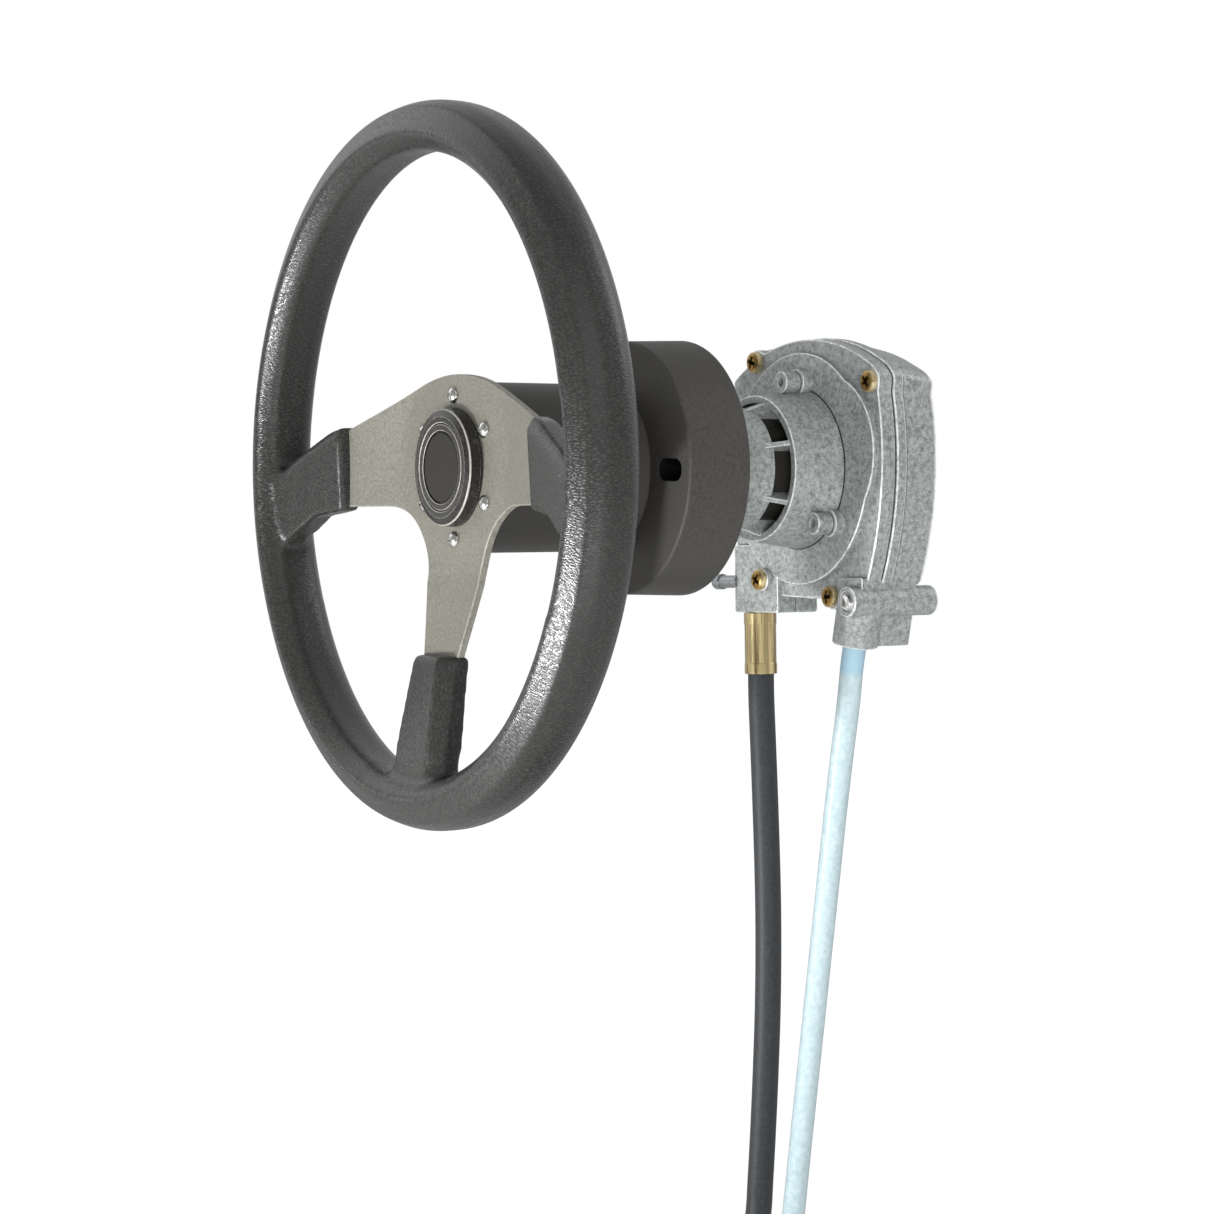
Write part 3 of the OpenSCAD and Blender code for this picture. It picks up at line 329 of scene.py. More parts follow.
def evenly(line: Array, count: int) -> Array:
    """Reads a line of points at an even spacing.

    Args:
        line: Points in any number of dimensions.
        count: How many points come back.

    Returns:
        The points, the line's two ends among them.
    """
    gone = np.concatenate([[0.0], np.cumsum(np.linalg.norm(np.diff(line, axis=0), axis=1))])
    even = np.linspace(0.0, gone[-1], count)
    return np.stack([np.interp(even, gone, column) for column in line.T], -1)


def smooth_path(knots: Array, step: float) -> Array:
    """Smooth curve through route points: a Catmull-Rom spline, read at an even spacing.

    Args:
        knots: Route points.
        step: Spacing of the points that come back.

    Returns:
        Points along the curve, the route's two ends among them.
    """
    per_span = 16
    p = np.concatenate([2 * knots[:1] - knots[1:2], knots, 2 * knots[-1:] - knots[-2:-1]])
    u = np.linspace(0.0, 1.0, per_span, endpoint=False)[None, :, None]
    a, b, c, d = (p[k : len(p) - 3 + k, None, :] for k in range(4))
    curve = 0.5 * (2 * b + (c - a) * u + (2 * a - 5 * b + 4 * c - d) * u**2 + (3 * b - a - 3 * c + d) * u**3)
    curve = np.concatenate([curve.reshape(-1, 3), knots[-1:]])
    return evenly(curve, max(2, round(path_length(curve) / step) + 1))


def path_length(path: Array) -> float:
    """Length of a line of points."""
    return float(np.linalg.norm(np.diff(path, axis=0), axis=1).sum())


def tube(path: Array, radius: float, sides: int = 20) -> Shell:
    """Round tube along a path; each ring is square to the path, and turns no more than it has to.

    Args:
        path: Points that the middle follows.
        radius: Radius of the tube.
        sides: Points round the tube.

    Returns:
        The shell, closed at both ends.
    """
    ahead = np.gradient(path, axis=0)
    ahead /= np.linalg.norm(ahead, axis=1, keepdims=True)
    side = np.zeros_like(path)
    side[0] = np.cross(ahead[0], np.eye(3)[np.argmin(np.abs(ahead[0]))])
    for k in range(1, len(path)):
        side[k] = side[k - 1] - ahead[k] * (side[k - 1] @ ahead[k])
    side /= np.linalg.norm(side, axis=1, keepdims=True)
    other = np.cross(ahead, side)
    a = np.linspace(0.0, TURN, sides, endpoint=False)[None, :, None]
    rings = path[:, None] + radius * (np.cos(a) * side[:, None] + np.sin(a) * other[:, None])
    return ring_stack(rings)


# Finishes


def linear(colour: str) -> tuple[float, float, float, float]:
    """Turns an sRGB hex colour into linear values with an alpha of 1.

    Args:
        colour: Six hex digits.

    Returns:
        Red, green, blue and alpha.
    """
    c = np.array([int(colour[k : k + 2], 16) for k in (0, 2, 4)]) / 255
    r, g, b = np.where(c <= 0.04045, c / 12.92, ((c + 0.055) / 1.055) ** 2.4)
    return float(r), float(g), float(b), 1.0


def add_node(
    tree: bpy.types.NodeTree, kind: str, links: dict[str | int, object] | None = None, **settings: object
) -> bpy.types.Node:
    """Adds a node, sets its properties, and links or sets its inputs.

    Args:
        tree: Node tree that takes the node.
        kind: Node type without its "ShaderNode" prefix.
        links: Input name or number to an output socket, or to a plain value.
        settings: Properties of the node.

    Returns:
        The node.
    """
    node = tree.nodes.new("ShaderNode" + kind)
    for name, value in settings.items():
        setattr(node, name, value)
    for key, value in (links or {}).items():
        if isinstance(value, bpy.types.NodeSocket):
            tree.links.new(value, node.inputs[key])
        else:
            node.inputs[key].default_value = value
    return node


def spots(place: bpy.types.NodeSocket, size_mm: float, detail: float) -> dict[str | int, object]:
    """Inputs of a noise whose spots are about a real size.

    Args:
        place: Coordinates in metres.
        size_mm: Size of the spots.
        detail: How many finer layers are added.

    Returns:
        Inputs for a node.
    """
    return {0: place, "Scale": 1.0 / (size_mm * MM), "Detail": detail, "Roughness": 0.6}


class Pattern(Enum):
    """What the fine structure of a surface looks like."""

    MOTTLED = "cloudy spots, as on a casting or moulded plastic"
    LEATHER = "small cells with creases between them, drawn out across a ring about the steering axis"
    BRUSHED = "fine lines along one axis"


@dataclass(frozen=True)
class Finish:
    """A surface finish: two colours that a pattern mixes, a gloss range, a bump, and colours of painted light that
    follow the marks.

    The first colour of painted light is a painted highlight on edges, broken up by spots of a given size; the second
    lies where the mark is below zero, as painted shade in recesses, and as a second tone on the milky tube.
    """

    name: str
    dark: str
    light: str
    roughness: tuple[float, float] = (0.4, 0.55)
    metallic: float = 0.0
    pattern: Pattern = Pattern.MOTTLED
    grain_mm: float = 2.0
    bump_mm: float = 0.05
    stretch: tuple[float, float, float] = (1.0, 1.0, 1.0)
    contrast: float = 1.0
    blotch_mm: float = 0.0
    painted_light: str | None = None
    highlight_break_mm: float = 3.0
    shade_and_tone: str | None = None
    specular: float = 0.5

    def material(self) -> bpy.types.Material:
        """Builds the finish's node material, once.

        Returns:
            The material.
        """
        found = bpy.data.materials.get(self.name)
        if found:
            return found
        made = bpy.data.materials.new(self.name)
        made.use_nodes = True
        tree = made.node_tree
        shader = tree.nodes["Principled BSDF"]
        place = add_node(tree, "TexCoord").outputs["Object"]
        height = tone = self._height(tree, place)
        if self.blotch_mm:
            cloud = add_node(tree, "TexNoise", spots(place, self.blotch_mm, 2.0)).outputs[0]
            tone = add_node(tree, "Mix", {0: 0.5, 2: height, 3: cloud}).outputs[0]
        reach = 0.25 / self.contrast
        mix = add_node(tree, "MapRange", {0: tone, 1: 0.5 - reach, 2: 0.5 + reach}).outputs[0]
        colours = {0: mix, 6: linear(self.dark), 7: linear(self.light)}
        colour = add_node(tree, "Mix", colours, data_type="RGBA").outputs[2]
        rough = add_node(tree, "MapRange", {0: mix, 3: self.roughness[0], 4: self.roughness[1]}).outputs[0]
        # Painted light: a pale highlight colour on edges, broken up by noise, and a dark shade colour where the marks
        # are below zero, which on the milky tube is a second tone instead.
        on_edges, in_shade_and_tone = (self.painted_light, 0.15, 0.8, self.highlight_break_mm), (self.shade_and_tone, -0.05, -0.8, 0.0)
        for paint, least, full, highlight_break_mm in (on_edges, in_shade_and_tone):
            if not paint:
                continue
            painted_light_and_tone = add_node(tree, "Attribute", attribute_name="painted_light_and_tone").outputs["Fac"]
            share = add_node(tree, "MapRange", {0: painted_light_and_tone, 1: least, 2: full}).outputs[0]
            if highlight_break_mm:
                broken, whole, least_share = 0.36, 0.56, 0.35
                highlight_breaks = add_node(tree, "TexNoise", spots(place, highlight_break_mm, 4.0)).outputs[0]
                kept = add_node(tree, "MapRange", {0: highlight_breaks, 1: broken, 2: whole, 3: least_share}).outputs[0]
                share = add_node(tree, "Math", {0: share, 1: kept}, operation="MULTIPLY").outputs[0]
            colour = add_node(tree, "Mix", {0: share, 6: colour, 7: linear(paint)}, data_type="RGBA").outputs[2]
        bump = add_node(tree, "Bump", {"Height": height, "Strength": 1.0, "Distance": self.bump_mm * MM}).outputs[0]
        for name, socket in (("Base Color", colour), ("Roughness", rough), ("Normal", bump)):
            tree.links.new(socket, shader.inputs[name])
        shader.inputs["Metallic"].default_value = self.metallic
        shader.inputs["Specular IOR Level"].default_value = self.specular
        return made

    def _height(self, tree: bpy.types.NodeTree, place: bpy.types.NodeSocket) -> bpy.types.NodeSocket:
        """Adds the pattern's nodes.

        Leather is laid out along the rim: the way round it, the way along the axis and the distance from the axis.

        Args:
            tree: The material's node tree.
            place: Coordinates in metres.

        Returns:
            The pattern's height, from 0 to 1.
        """
        if self.pattern is Pattern.LEATHER:
            x, y, z = add_node(tree, "SeparateXYZ", {0: place}).outputs
            turn = add_node(tree, "Math", {0: z, 1: x}, operation="ARCTAN2").outputs[0]
            along = add_node(tree, "Math", {0: turn, 1: RIM_R * MM}, operation="MULTIPLY").outputs[0]
            across = add_node(tree, "VectorMath", {0: place, 1: (1.0, 0.0, 1.0)}, operation="MULTIPLY").outputs[0]
            out = add_node(tree, "VectorMath", {0: across}, operation="LENGTH").outputs["Value"]
            place = add_node(tree, "CombineXYZ", {0: along, 1: y, 2: out}).outputs[0]
        place = add_node(tree, "Mapping", {0: place, 3: self.stretch}).outputs[0]
        if self.pattern is not Pattern.LEATHER:
            detail = 6.0 if self.pattern is Pattern.MOTTLED else 3.0
            return add_node(tree, "TexNoise", spots(place, self.grain_mm, detail)).outputs[0]
        scale, drift_share, crease = 1.0 / (self.grain_mm * MM), 0.6, 0.35
        drift = add_node(tree, "TexNoise", {0: place, "Scale": scale * 0.5, "Detail": 2.0}).outputs[1]
        bend = {0: drift, 1: (drift_share / scale,) * 3, 2: place}
        bent = add_node(tree, "VectorMath", bend, operation="MULTIPLY_ADD").outputs[0]
        cells = add_node(tree, "TexVoronoi", {0: bent, "Scale": scale}, feature="DISTANCE_TO_EDGE").outputs[0]
        return add_node(tree, "MapRange", {0: cells, 2: crease}).outputs[0]


# Sizes of grain are those of the real surface where the render can show them. On smooth plastic, paint, plating and
# rubber, the grain is finer than that, and it is drawn at 0.6 to 3 mm, so that it shows as a faint unevenness.

# Moulded polyurethane with a leather grain of 1.2 mm, drawn out across the rim: dark, with streaky glints.
GRIP = Finish(
    "moulded_polyurethane_grip", "262625", "30302e", (0.27, 0.38), pattern=Pattern.LEATHER, grain_mm=1.2,
    bump_mm=0.07, stretch=(1.0, 0.4, 0.4),
)
# Anodised aluminium sheet, tumbled: warm silver, with a painted highlight, a thin bright line, on its edges.
# Its grain is finer than the render can show, so it is drawn at 1.2 mm.
PLATE = Finish(
    "satin_anodised_plate", "64635a", "8c8a80", (0.48, 0.6), 0.35, grain_mm=1.2, bump_mm=0.02, contrast=1.2,
    painted_light="c2c0b6",
)
# Powder-coated hub: an even satin black. Its grit is drawn at 0.9 mm, so that it shows.
HUB = Finish("powder_coated_hub", "2b2a28", "3d3b38", (0.42, 0.55), grain_mm=0.9, bump_mm=0.04, specular=0.35)
# Spark-eroded ABS: warm matt black, with painted shade, a deep black, inside its sleeves and in its inner creases. Its
# texture is drawn at 1.3 mm, to show.
BEZEL = Finish(
    "textured_abs_bezel", "302f2d", "464441", (0.45, 0.6), grain_mm=1.3, bump_mm=0.07, contrast=1.3,
    shade_and_tone="090909", specular=0.35,
)
# Gloss-moulded ABS: nearly black, with painted highlights on the rims of its rings, where they catch the light.
CAP = Finish(
    "moulded_abs_cap", "151412", "262421", (0.22, 0.36), grain_mm=1.2, bump_mm=0.02, painted_light="a3a09a", highlight_break_mm=0.0
)
# Painted disc: a dark satin, a little lighter than the cap.
BADGE = Finish("bare_badge_disc", "1c1b19", "2b2927", (0.55, 0.7), grain_mm=0.6, bump_mm=0.03, specular=0.3)
# Nickel-plated steel: a small bright mirror.
BRIGHT = Finish("nickel_plated_screw", "c9c9c6", "efefec", (0.12, 0.25), 1.0, grain_mm=1.5, bump_mm=0.01)
# Die-cast aluminium, tumbled: faint clouds of 2.5 mm over a fine grain, painted highlights on its edges, and painted
# shade in its creases and recesses.
CASTING = Finish(
    "die_cast_aluminium", "696a67", "c6cccc", (0.34, 0.56), 0.5, grain_mm=0.9, bump_mm=0.08, contrast=1.4,
    blotch_mm=2.5, painted_light="f2f5f5", shade_and_tone="33312d",
)
# Yellow-passivated zinc: brown-gold, with a painted highlight on its rim and painted shade in its recess.
ZINC = Finish(
    "yellow_zinc_screw", "5a4119", "c29f5c", (0.24, 0.42), 0.85, grain_mm=1.2, bump_mm=0.04, painted_light="f1dfb4",
    shade_and_tone="1d140a",
)
# Drawn brass: dull gold with streaks along its length, which are drawn 2.6 mm apart, so that they show.
BRASS = Finish(
    "drawn_brass", "66532a", "e6d2a0", (0.24, 0.38), 0.6, Pattern.BRUSHED, 2.6, 0.03, (1.0, 1.0, 0.03), 1.5
)
# Turned steel: cool grey with fine rings, which are drawn 0.8 mm apart, so that they show.
STEEL = Finish("turned_steel", "7d8184", "b1b4b6", (0.25, 0.42), 0.95, Pattern.BRUSHED, 0.8, 0.01, (1.0, 0.1, 1.0))
# Extruded thermoplastic jacket: matt charcoal with a soft highlight down its length.
JACKET = Finish(
    "extruded_cable_jacket", "242628", "3a3d40", (0.45, 0.58), grain_mm=1.8, bump_mm=0.06, specular=0.35
)
# Natural nylon tube: milky, with cloudy patches of 3 mm, and a clearer blue in the sleeve at its upper end.
MILKY = Finish(
    "milky_nylon_tube", "98adb3", "b9c9cd", (0.3, 0.45), grain_mm=3.0, bump_mm=0.02, shade_and_tone="95b3c2", specular=0.35
)
# Pressed fibre: a dull dark line between the castings.
GASKET = Finish("pressed_gasket", "2b2c2c", "47494a", (0.7, 0.85), grain_mm=1.0, bump_mm=0.05)
# Natural nylon: a warm, waxy white.
NYLON = Finish("natural_nylon", "cfc9b8", "e2ddcf", (0.4, 0.55), grain_mm=3.0, bump_mm=0.02)
# Sintered bronze: a dull brown gold with fine pores.
BRONZE = Finish("sintered_bronze", "8d6c3c", "b9965c", (0.4, 0.55), 0.9, grain_mm=0.7, bump_mm=0.03)
# Moulded nylon strap: a plain satin black.
STRAP = Finish("nylon_strap", "141414", "242424", (0.4, 0.55), grain_mm=1.0, bump_mm=0.04)
# Dipped vinyl cap: a soft red.
RED_CAP = Finish("red_vinyl_cap", "a01f18", "c03128", (0.35, 0.5), grain_mm=2.0, bump_mm=0.03)
# Nitrile rubber: a dull black.
SEAL = Finish("nitrile_lip_seal", "141414", "222222", (0.5, 0.65), grain_mm=1.0, bump_mm=0.03)


# Pieces


class Body(Enum):
    """The CAD bodies that pieces ride on."""

    HOUSING = "housing"
    WHEEL = "wheel"


def make_piece(
    name: str,
    shell: Shell,
    finish: Finish,
    body: Body,
    replaces: Sequence[str] = (),
    sharp_degrees: float = SHARP_DEGREES,
) -> bpy.types.Object:
    """Makes a mesh object from a shell, dresses it and rides it on its body.

    Args:
        name: Name of the piece.
        shell: Surface in millimetres.
        finish: Finish that dresses it.
        body: Body that it rides on.
        replaces: CAD nodes that it stands for.
        sharp_degrees: Edges that turn more than this stay sharp.

    Returns:
        The object.
    """
    mesh = bpy.data.meshes.new(name)
    mesh.from_pydata((shell.points * MM).tolist(), [], [row for f in shell.faces for row in f.tolist()])
    work = bmesh.new()
    work.from_mesh(mesh)
    bmesh.ops.recalc_face_normals(work, faces=work.faces)
    work.to_mesh(mesh)
    work.free()
    # The marks on which the finishes paint highlights on edges and shade in recesses, and a second tone on the milky
    # tube.
    mesh.attributes.new("painted_light_and_tone", "FLOAT", "POINT").data.foreach_set("value", shell.painted_light_and_tone.astype(np.float32))
    mesh.polygons.foreach_set("use_smooth", np.ones(len(mesh.polygons), bool))
    mesh.set_sharp_from_angle(angle=math.radians(sharp_degrees))
    mesh.materials.append(finish.material())
    piece = bpy.data.objects.new(name, mesh)
    bpy.context.scene.collection.objects.link(piece)
    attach(piece, body.value)
    if replaces:
        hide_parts(*replaces)
    LOG.info("%s: %d points", name, len(shell.points))
    return piece


def apply_modifiers(piece: bpy.types.Object) -> None:
    """Makes the piece's modified mesh its own mesh, with no modifiers left.

    Args:
        piece: Object whose modifiers are applied.
    """
    graph = bpy.context.evaluated_depsgraph_get()
    finished = bpy.data.meshes.new_from_object(piece.evaluated_get(graph))
    piece.modifiers.clear()
    piece.data = finished


def placed(
    right: Sequence[float], up: Sequence[float], back: Sequence[float], place: Sequence[float]
) -> Matrix:
    """World matrix of a camera or a lamp.

    Args:
        right: Unit direction of its right side.
        up: Unit direction of its top.
        back: Unit direction away from what it faces.
        place: Where it stands, in metres.

    Returns:
        The matrix, with the directions and the place as its columns.
    """
    matrix = np.eye(4)
    matrix[:3] = np.stack([right, up, back, place], -1)
    return Matrix(matrix.tolist())


@dataclass(frozen=True)
class Lamp:
    """An area lamp: its place and height in metres, its power, and its width as a share of its height.

    A lamp that isn't mirrored lights the helm, but no glossy surface shows it.
    """

    name: str
    place: tuple[float, float, float]
    size: float
    watts: float
    wide: float = 1.0
    mirrored: bool = True

    def build(self, aim: Sequence[float]) -> None:
        """Adds the lamp to the scene, unseen by the camera.

        Args:
            aim: Point that it faces, in metres.
        """
        data = bpy.data.lights.new(self.name, "AREA")
        data.shape = "RECTANGLE"
        data.size, data.size_y, data.energy = self.size * self.wide, self.size, self.watts
        lamp = bpy.data.objects.new(self.name, data)
        bpy.context.scene.collection.objects.link(lamp)
        back = np.asarray(self.place, float) - np.asarray(aim, float)
        back /= np.linalg.norm(back)
        side = np.cross([0.0, 0.0, 1.0], back)
        side /= np.linalg.norm(side)
        lamp.matrix_world = placed(side, np.cross(back, side), back, self.place)
        lamp.visible_camera = False
        lamp.visible_glossy = self.mirrored


@dataclass
class Studio:
    """Camera at the photograph's place, a pale floor, a white surround, and soft lamps; all sizes in metres."""

    eye: tuple[float, float, float] = (1.259379, -0.875344, -0.047478)
    right: tuple[float, float, float] = (0.523391, 0.851950, -0.015585)
    up: tuple[float, float, float] = (-0.004484, 0.021044, 0.999768)
    lens_mm: float = 87.684
    sensor_mm: float = 36.0
    floor_z: float = -0.4725
    floor_half: float = 8.0
    floor_glow: float = 1.06
    floor_glow_share: float = 0.82
    shadow_reach: tuple[float, float] = (0.3, 0.6)
    backdrop: tuple[float, float, float] = (-0.82, 0.57, 0.0)
    backdrop_span: tuple[float, float] = (-0.1, 0.6)
    backdrop_light: float = 0.72
    room_light: float = 0.3
    soft_light: float = 0.38
    aim: tuple[float, float, float] = (0.0, -0.1, -0.02)
    lamps: tuple[Lamp, ...] = (
        Lamp("key", (-1.5, -0.9, 1.0), 1.3, 3.7),
        Lamp("front", (-0.3, -1.6, -0.3), 0.3, 2.0),
        Lamp("strip", (-0.11, -1.02, -0.36), 0.08, 8.0),
        Lamp("side", (1.2, -0.7, -0.33), 0.22, 18.0, 4.0, mirrored=False),
        Lamp("low", (-1.3, -0.9, -0.2), 0.4, 0.6),
        Lamp("fill", (1.8, -0.6, 1.0), 1.6, 5.0),
        Lamp("rear", (0.6, 1.8, 1.3), 1.2, 9.0),
    )

    def camera(self) -> None:
        """Sets the fitted camera."""
        data = bpy.data.cameras.new("camera")
        data.lens, data.sensor_width = self.lens_mm, self.sensor_mm
        view = bpy.data.objects.new("camera", data)
        bpy.context.scene.collection.objects.link(view)
        view.matrix_world = placed(self.right, self.up, np.cross(self.right, self.up), self.eye)
        bpy.context.scene.camera = view

    def world(self) -> None:
        """White surround for what is seen directly or through a piece, and a soft grey light for the rest.

        Mirrors show a pale backdrop behind the helm and a darker room on the side from which it is seen.
        """
        world = bpy.data.worlds.new("studio")
        bpy.context.scene.world = world
        world.use_nodes = True
        tree = world.node_tree
        rays = add_node(tree, "LightPath").outputs
        facing = add_node(tree, "TexCoord").outputs["Generated"]
        behind = add_node(tree, "VectorMath", {0: facing, 1: self.backdrop}, operation="DOT_PRODUCT").outputs["Value"]
        low, high = self.backdrop_span
        lights = {0: behind, 1: low, 2: high, 3: self.room_light, 4: self.backdrop_light}
        room = add_node(tree, "MapRange", lights).outputs[0]
        mirrored = add_node(tree, "Mix", {0: rays["Is Glossy Ray"], 2: self.soft_light, 3: room}).outputs[0]
        direct = {0: rays["Is Camera Ray"], 1: rays["Is Transmission Ray"]}
        seen = add_node(tree, "Math", direct, operation="MAXIMUM").outputs[0]
        shade = add_node(tree, "Mix", {0: seen, 2: mirrored, 3: 1.0}).outputs[0]
        tree.links.new(shade, tree.nodes["Background"].inputs["Strength"])
        tree.nodes["Background"].inputs["Color"].default_value = linear("ffffff")

    def floor(self) -> None:
        """Pale floor under the coil, which glows white to the camera and keeps a soft shadow near the helm."""
        half, z = self.floor_half, self.floor_z
        mesh = bpy.data.meshes.new("floor")
        mesh.from_pydata([(-half, -half, z), (half, -half, z), (half, half, z), (-half, half, z)], [], [(0, 1, 2, 3)])
        floor = bpy.data.objects.new("floor", mesh)
        bpy.context.scene.collection.objects.link(floor)
        made = bpy.data.materials.new("studio_floor")
        made.use_nodes = True
        tree = made.node_tree
        shader = tree.nodes["Principled BSDF"]
        paint = {"Base Color": (0.9, 0.9, 0.9, 1.0), "Roughness": 0.9, "Specular IOR Level": 0.1}
        for name, value in paint.items():
            shader.inputs[name].default_value = value
        glow = add_node(tree, "Emission", {"Color": linear("ffffff"), "Strength": self.floor_glow})
        rays = add_node(tree, "LightPath").outputs
        place = add_node(tree, "TexCoord").outputs["Object"]
        flat = add_node(tree, "VectorMath", {0: place, 1: (1.0, 1.0, 0.0)}, operation="MULTIPLY").outputs[0]
        away = add_node(tree, "VectorMath", {0: flat}, operation="LENGTH").outputs["Value"]
        near, far = self.shadow_reach
        white = add_node(tree, "MapRange", {0: away, 1: near, 2: far, 3: self.floor_glow_share, 4: 1.0}).outputs[0]
        share = add_node(tree, "Math", {0: rays["Is Camera Ray"], 1: white}, operation="MULTIPLY").outputs[0]
        both = add_node(tree, "MixShader", {0: share, 1: shader.outputs[0], 2: glow.outputs[0]})
        tree.links.new(both.outputs[0], tree.nodes["Material Output"].inputs["Surface"])
        mesh.materials.append(made)

    def build(self) -> None:
        """Sets the whole stage."""
        bpy.context.scene.view_settings.view_transform = "Standard"
        self.camera()
        self.world()
        self.floor()
        for lamp in self.lamps:
            lamp.build(self.aim)


@dataclass
class Cables:
    """The jacketed steering cable with its stored coil, and the milky spent-travel tube with its bluish sleeve."""

    cable_x: float = -47.0
    cable_y: float = 22.95
    cable_d: float = 14.0
    ferrule_low_z: float = -108.0
    lay_z: float = -463.65
    coil_in_r: float = 63.0
    coil_pitch: float = 14.7
    coil_turns: int = 4
    coil_start_x: float = -62.4
    coil_y: float = -75.0
    tail_len: float = 104.0
    far_z: float = -458.0
    sleeve_z: float = -106.0
    tube_d: float = 12.0
    tube_lean: float = 14.0
    tube_x: float = 47.0
    lean_z: float = -55.0
    clamp_low: float = 91.0
    clamp_grip: float = 15.0
    step: float = 4.0

    def coil(self) -> Array:
        """The coil's line: its radius shrinks to the middle turn and grows again, and it climbs there.

        Returns:
            Points along the line.
        """
        per_turn = 48
        t = np.linspace(0.0, self.coil_turns, per_turn * self.coil_turns + 1)
        middle = self.coil_turns / 2
        r = self.coil_in_r + self.coil_pitch * np.abs(t - middle)
        a = math.pi + TURN * t
        s = np.clip((t - middle) * 2 + 0.5, 0.0, 1.0)
        coil_x = self.coil_start_x + self.coil_in_r + self.coil_pitch * middle
        z = self.lay_z + self.coil_pitch * s * s * (3 - 2 * s)
        return np.stack([coil_x + r * np.cos(a), self.coil_y + r * np.sin(a), z], -1)

    def cable_path(self) -> Array:
        """The cable's line from its ferrule, down, through the coil and out to its far end.

        Returns:
            Points along the line, evenly spaced.
        """
        x, y, d, low = self.cable_x, self.cable_y, self.cable_d, self.ferrule_low_z
        hanging = [
            (x, y, low), (x, y, low - d), (-46, y, -145), (-45, y, -170), (-44, y, -200), (-43.5, y, -230),
            (-44, y, -260), (-45.5, y, -290), (-48, y, -320), (-51, y, -350), (-54.5, y, -380),
            (-57, y - 0.5, -402), (-59, y - 5, -421), (-60.5, y - 14, -438), (-61.5, y - 28, -451.5),
            (-62, y - 45, -460),
        ]
        sx, cy, top = self.coil_start_x, self.coil_y, self.lay_z + self.coil_pitch
        join = [(sx, cy + 32, self.lay_z), (sx, cy + 18, self.lay_z), (sx, cy + d, self.lay_z)]
        shape = [(d / self.tail_len, 0), (0.25, 0), (0.4, 0.12), (0.56, 0.42), (0.71, 0.76), (0.85, 0.96),
                 (0.92, 1), (1, 1)]
        tail = [(sx, cy - along * self.tail_len, top - down * (top - self.far_z)) for along, down in shape]
        return smooth_path(np.concatenate([np.array(hanging + join), self.coil(), np.array(tail)]), self.step)

    def tube_path(self) -> Array:
        """The tube's line, from inside its clamp along the clamp's lean and down.

        Returns:
            Points along the line, evenly spaced.
        """
        def on_lean(z: float) -> tuple[float, float, float]:
            """Point of the clamp's leaning bore at a height."""
            return self.tube_x + (z - self.lean_z) * math.tan(math.radians(self.tube_lean)), self.cable_y, z

        y = self.cable_y
        knots = [
            on_lean(self.clamp_grip - self.clamp_low), on_lean(-self.clamp_low), on_lean(-self.clamp_low - self.tube_d),
            (31.5, y, -122), (25, y, -150), (18.5, y, -180), (12.5, y, -210), (6.5, y, -240), (0.5, y, -270),
            (-5.5, y, -300), (-11.5, y, -330), (-17.5, y, -360), (-22.5, y, -386), (-26, y, -404),
        ]
        return smooth_path(np.array(knots), self.step)

    def build(self, nodes: dict[str, bpy.types.Object]) -> None:
        """Args:
            nodes: The CAD nodes by name; not used.
        """
        path = self.cable_path()
        cable = make_piece("cable_jacket", tube(path, self.cable_d / 2), JACKET, Body.HOUSING,
                           ("steering_cable", "cable_coil", "cable_tail"))
        path = self.tube_path()
        shell = tube(path, self.tube_d / 2)
        shell.painted_light_and_tone[shell.points[:, 2] > self.sleeve_z] = -1.0
        milky = make_piece("spent_travel_tube", shell, MILKY, Body.HOUSING, ("spent_tube",))


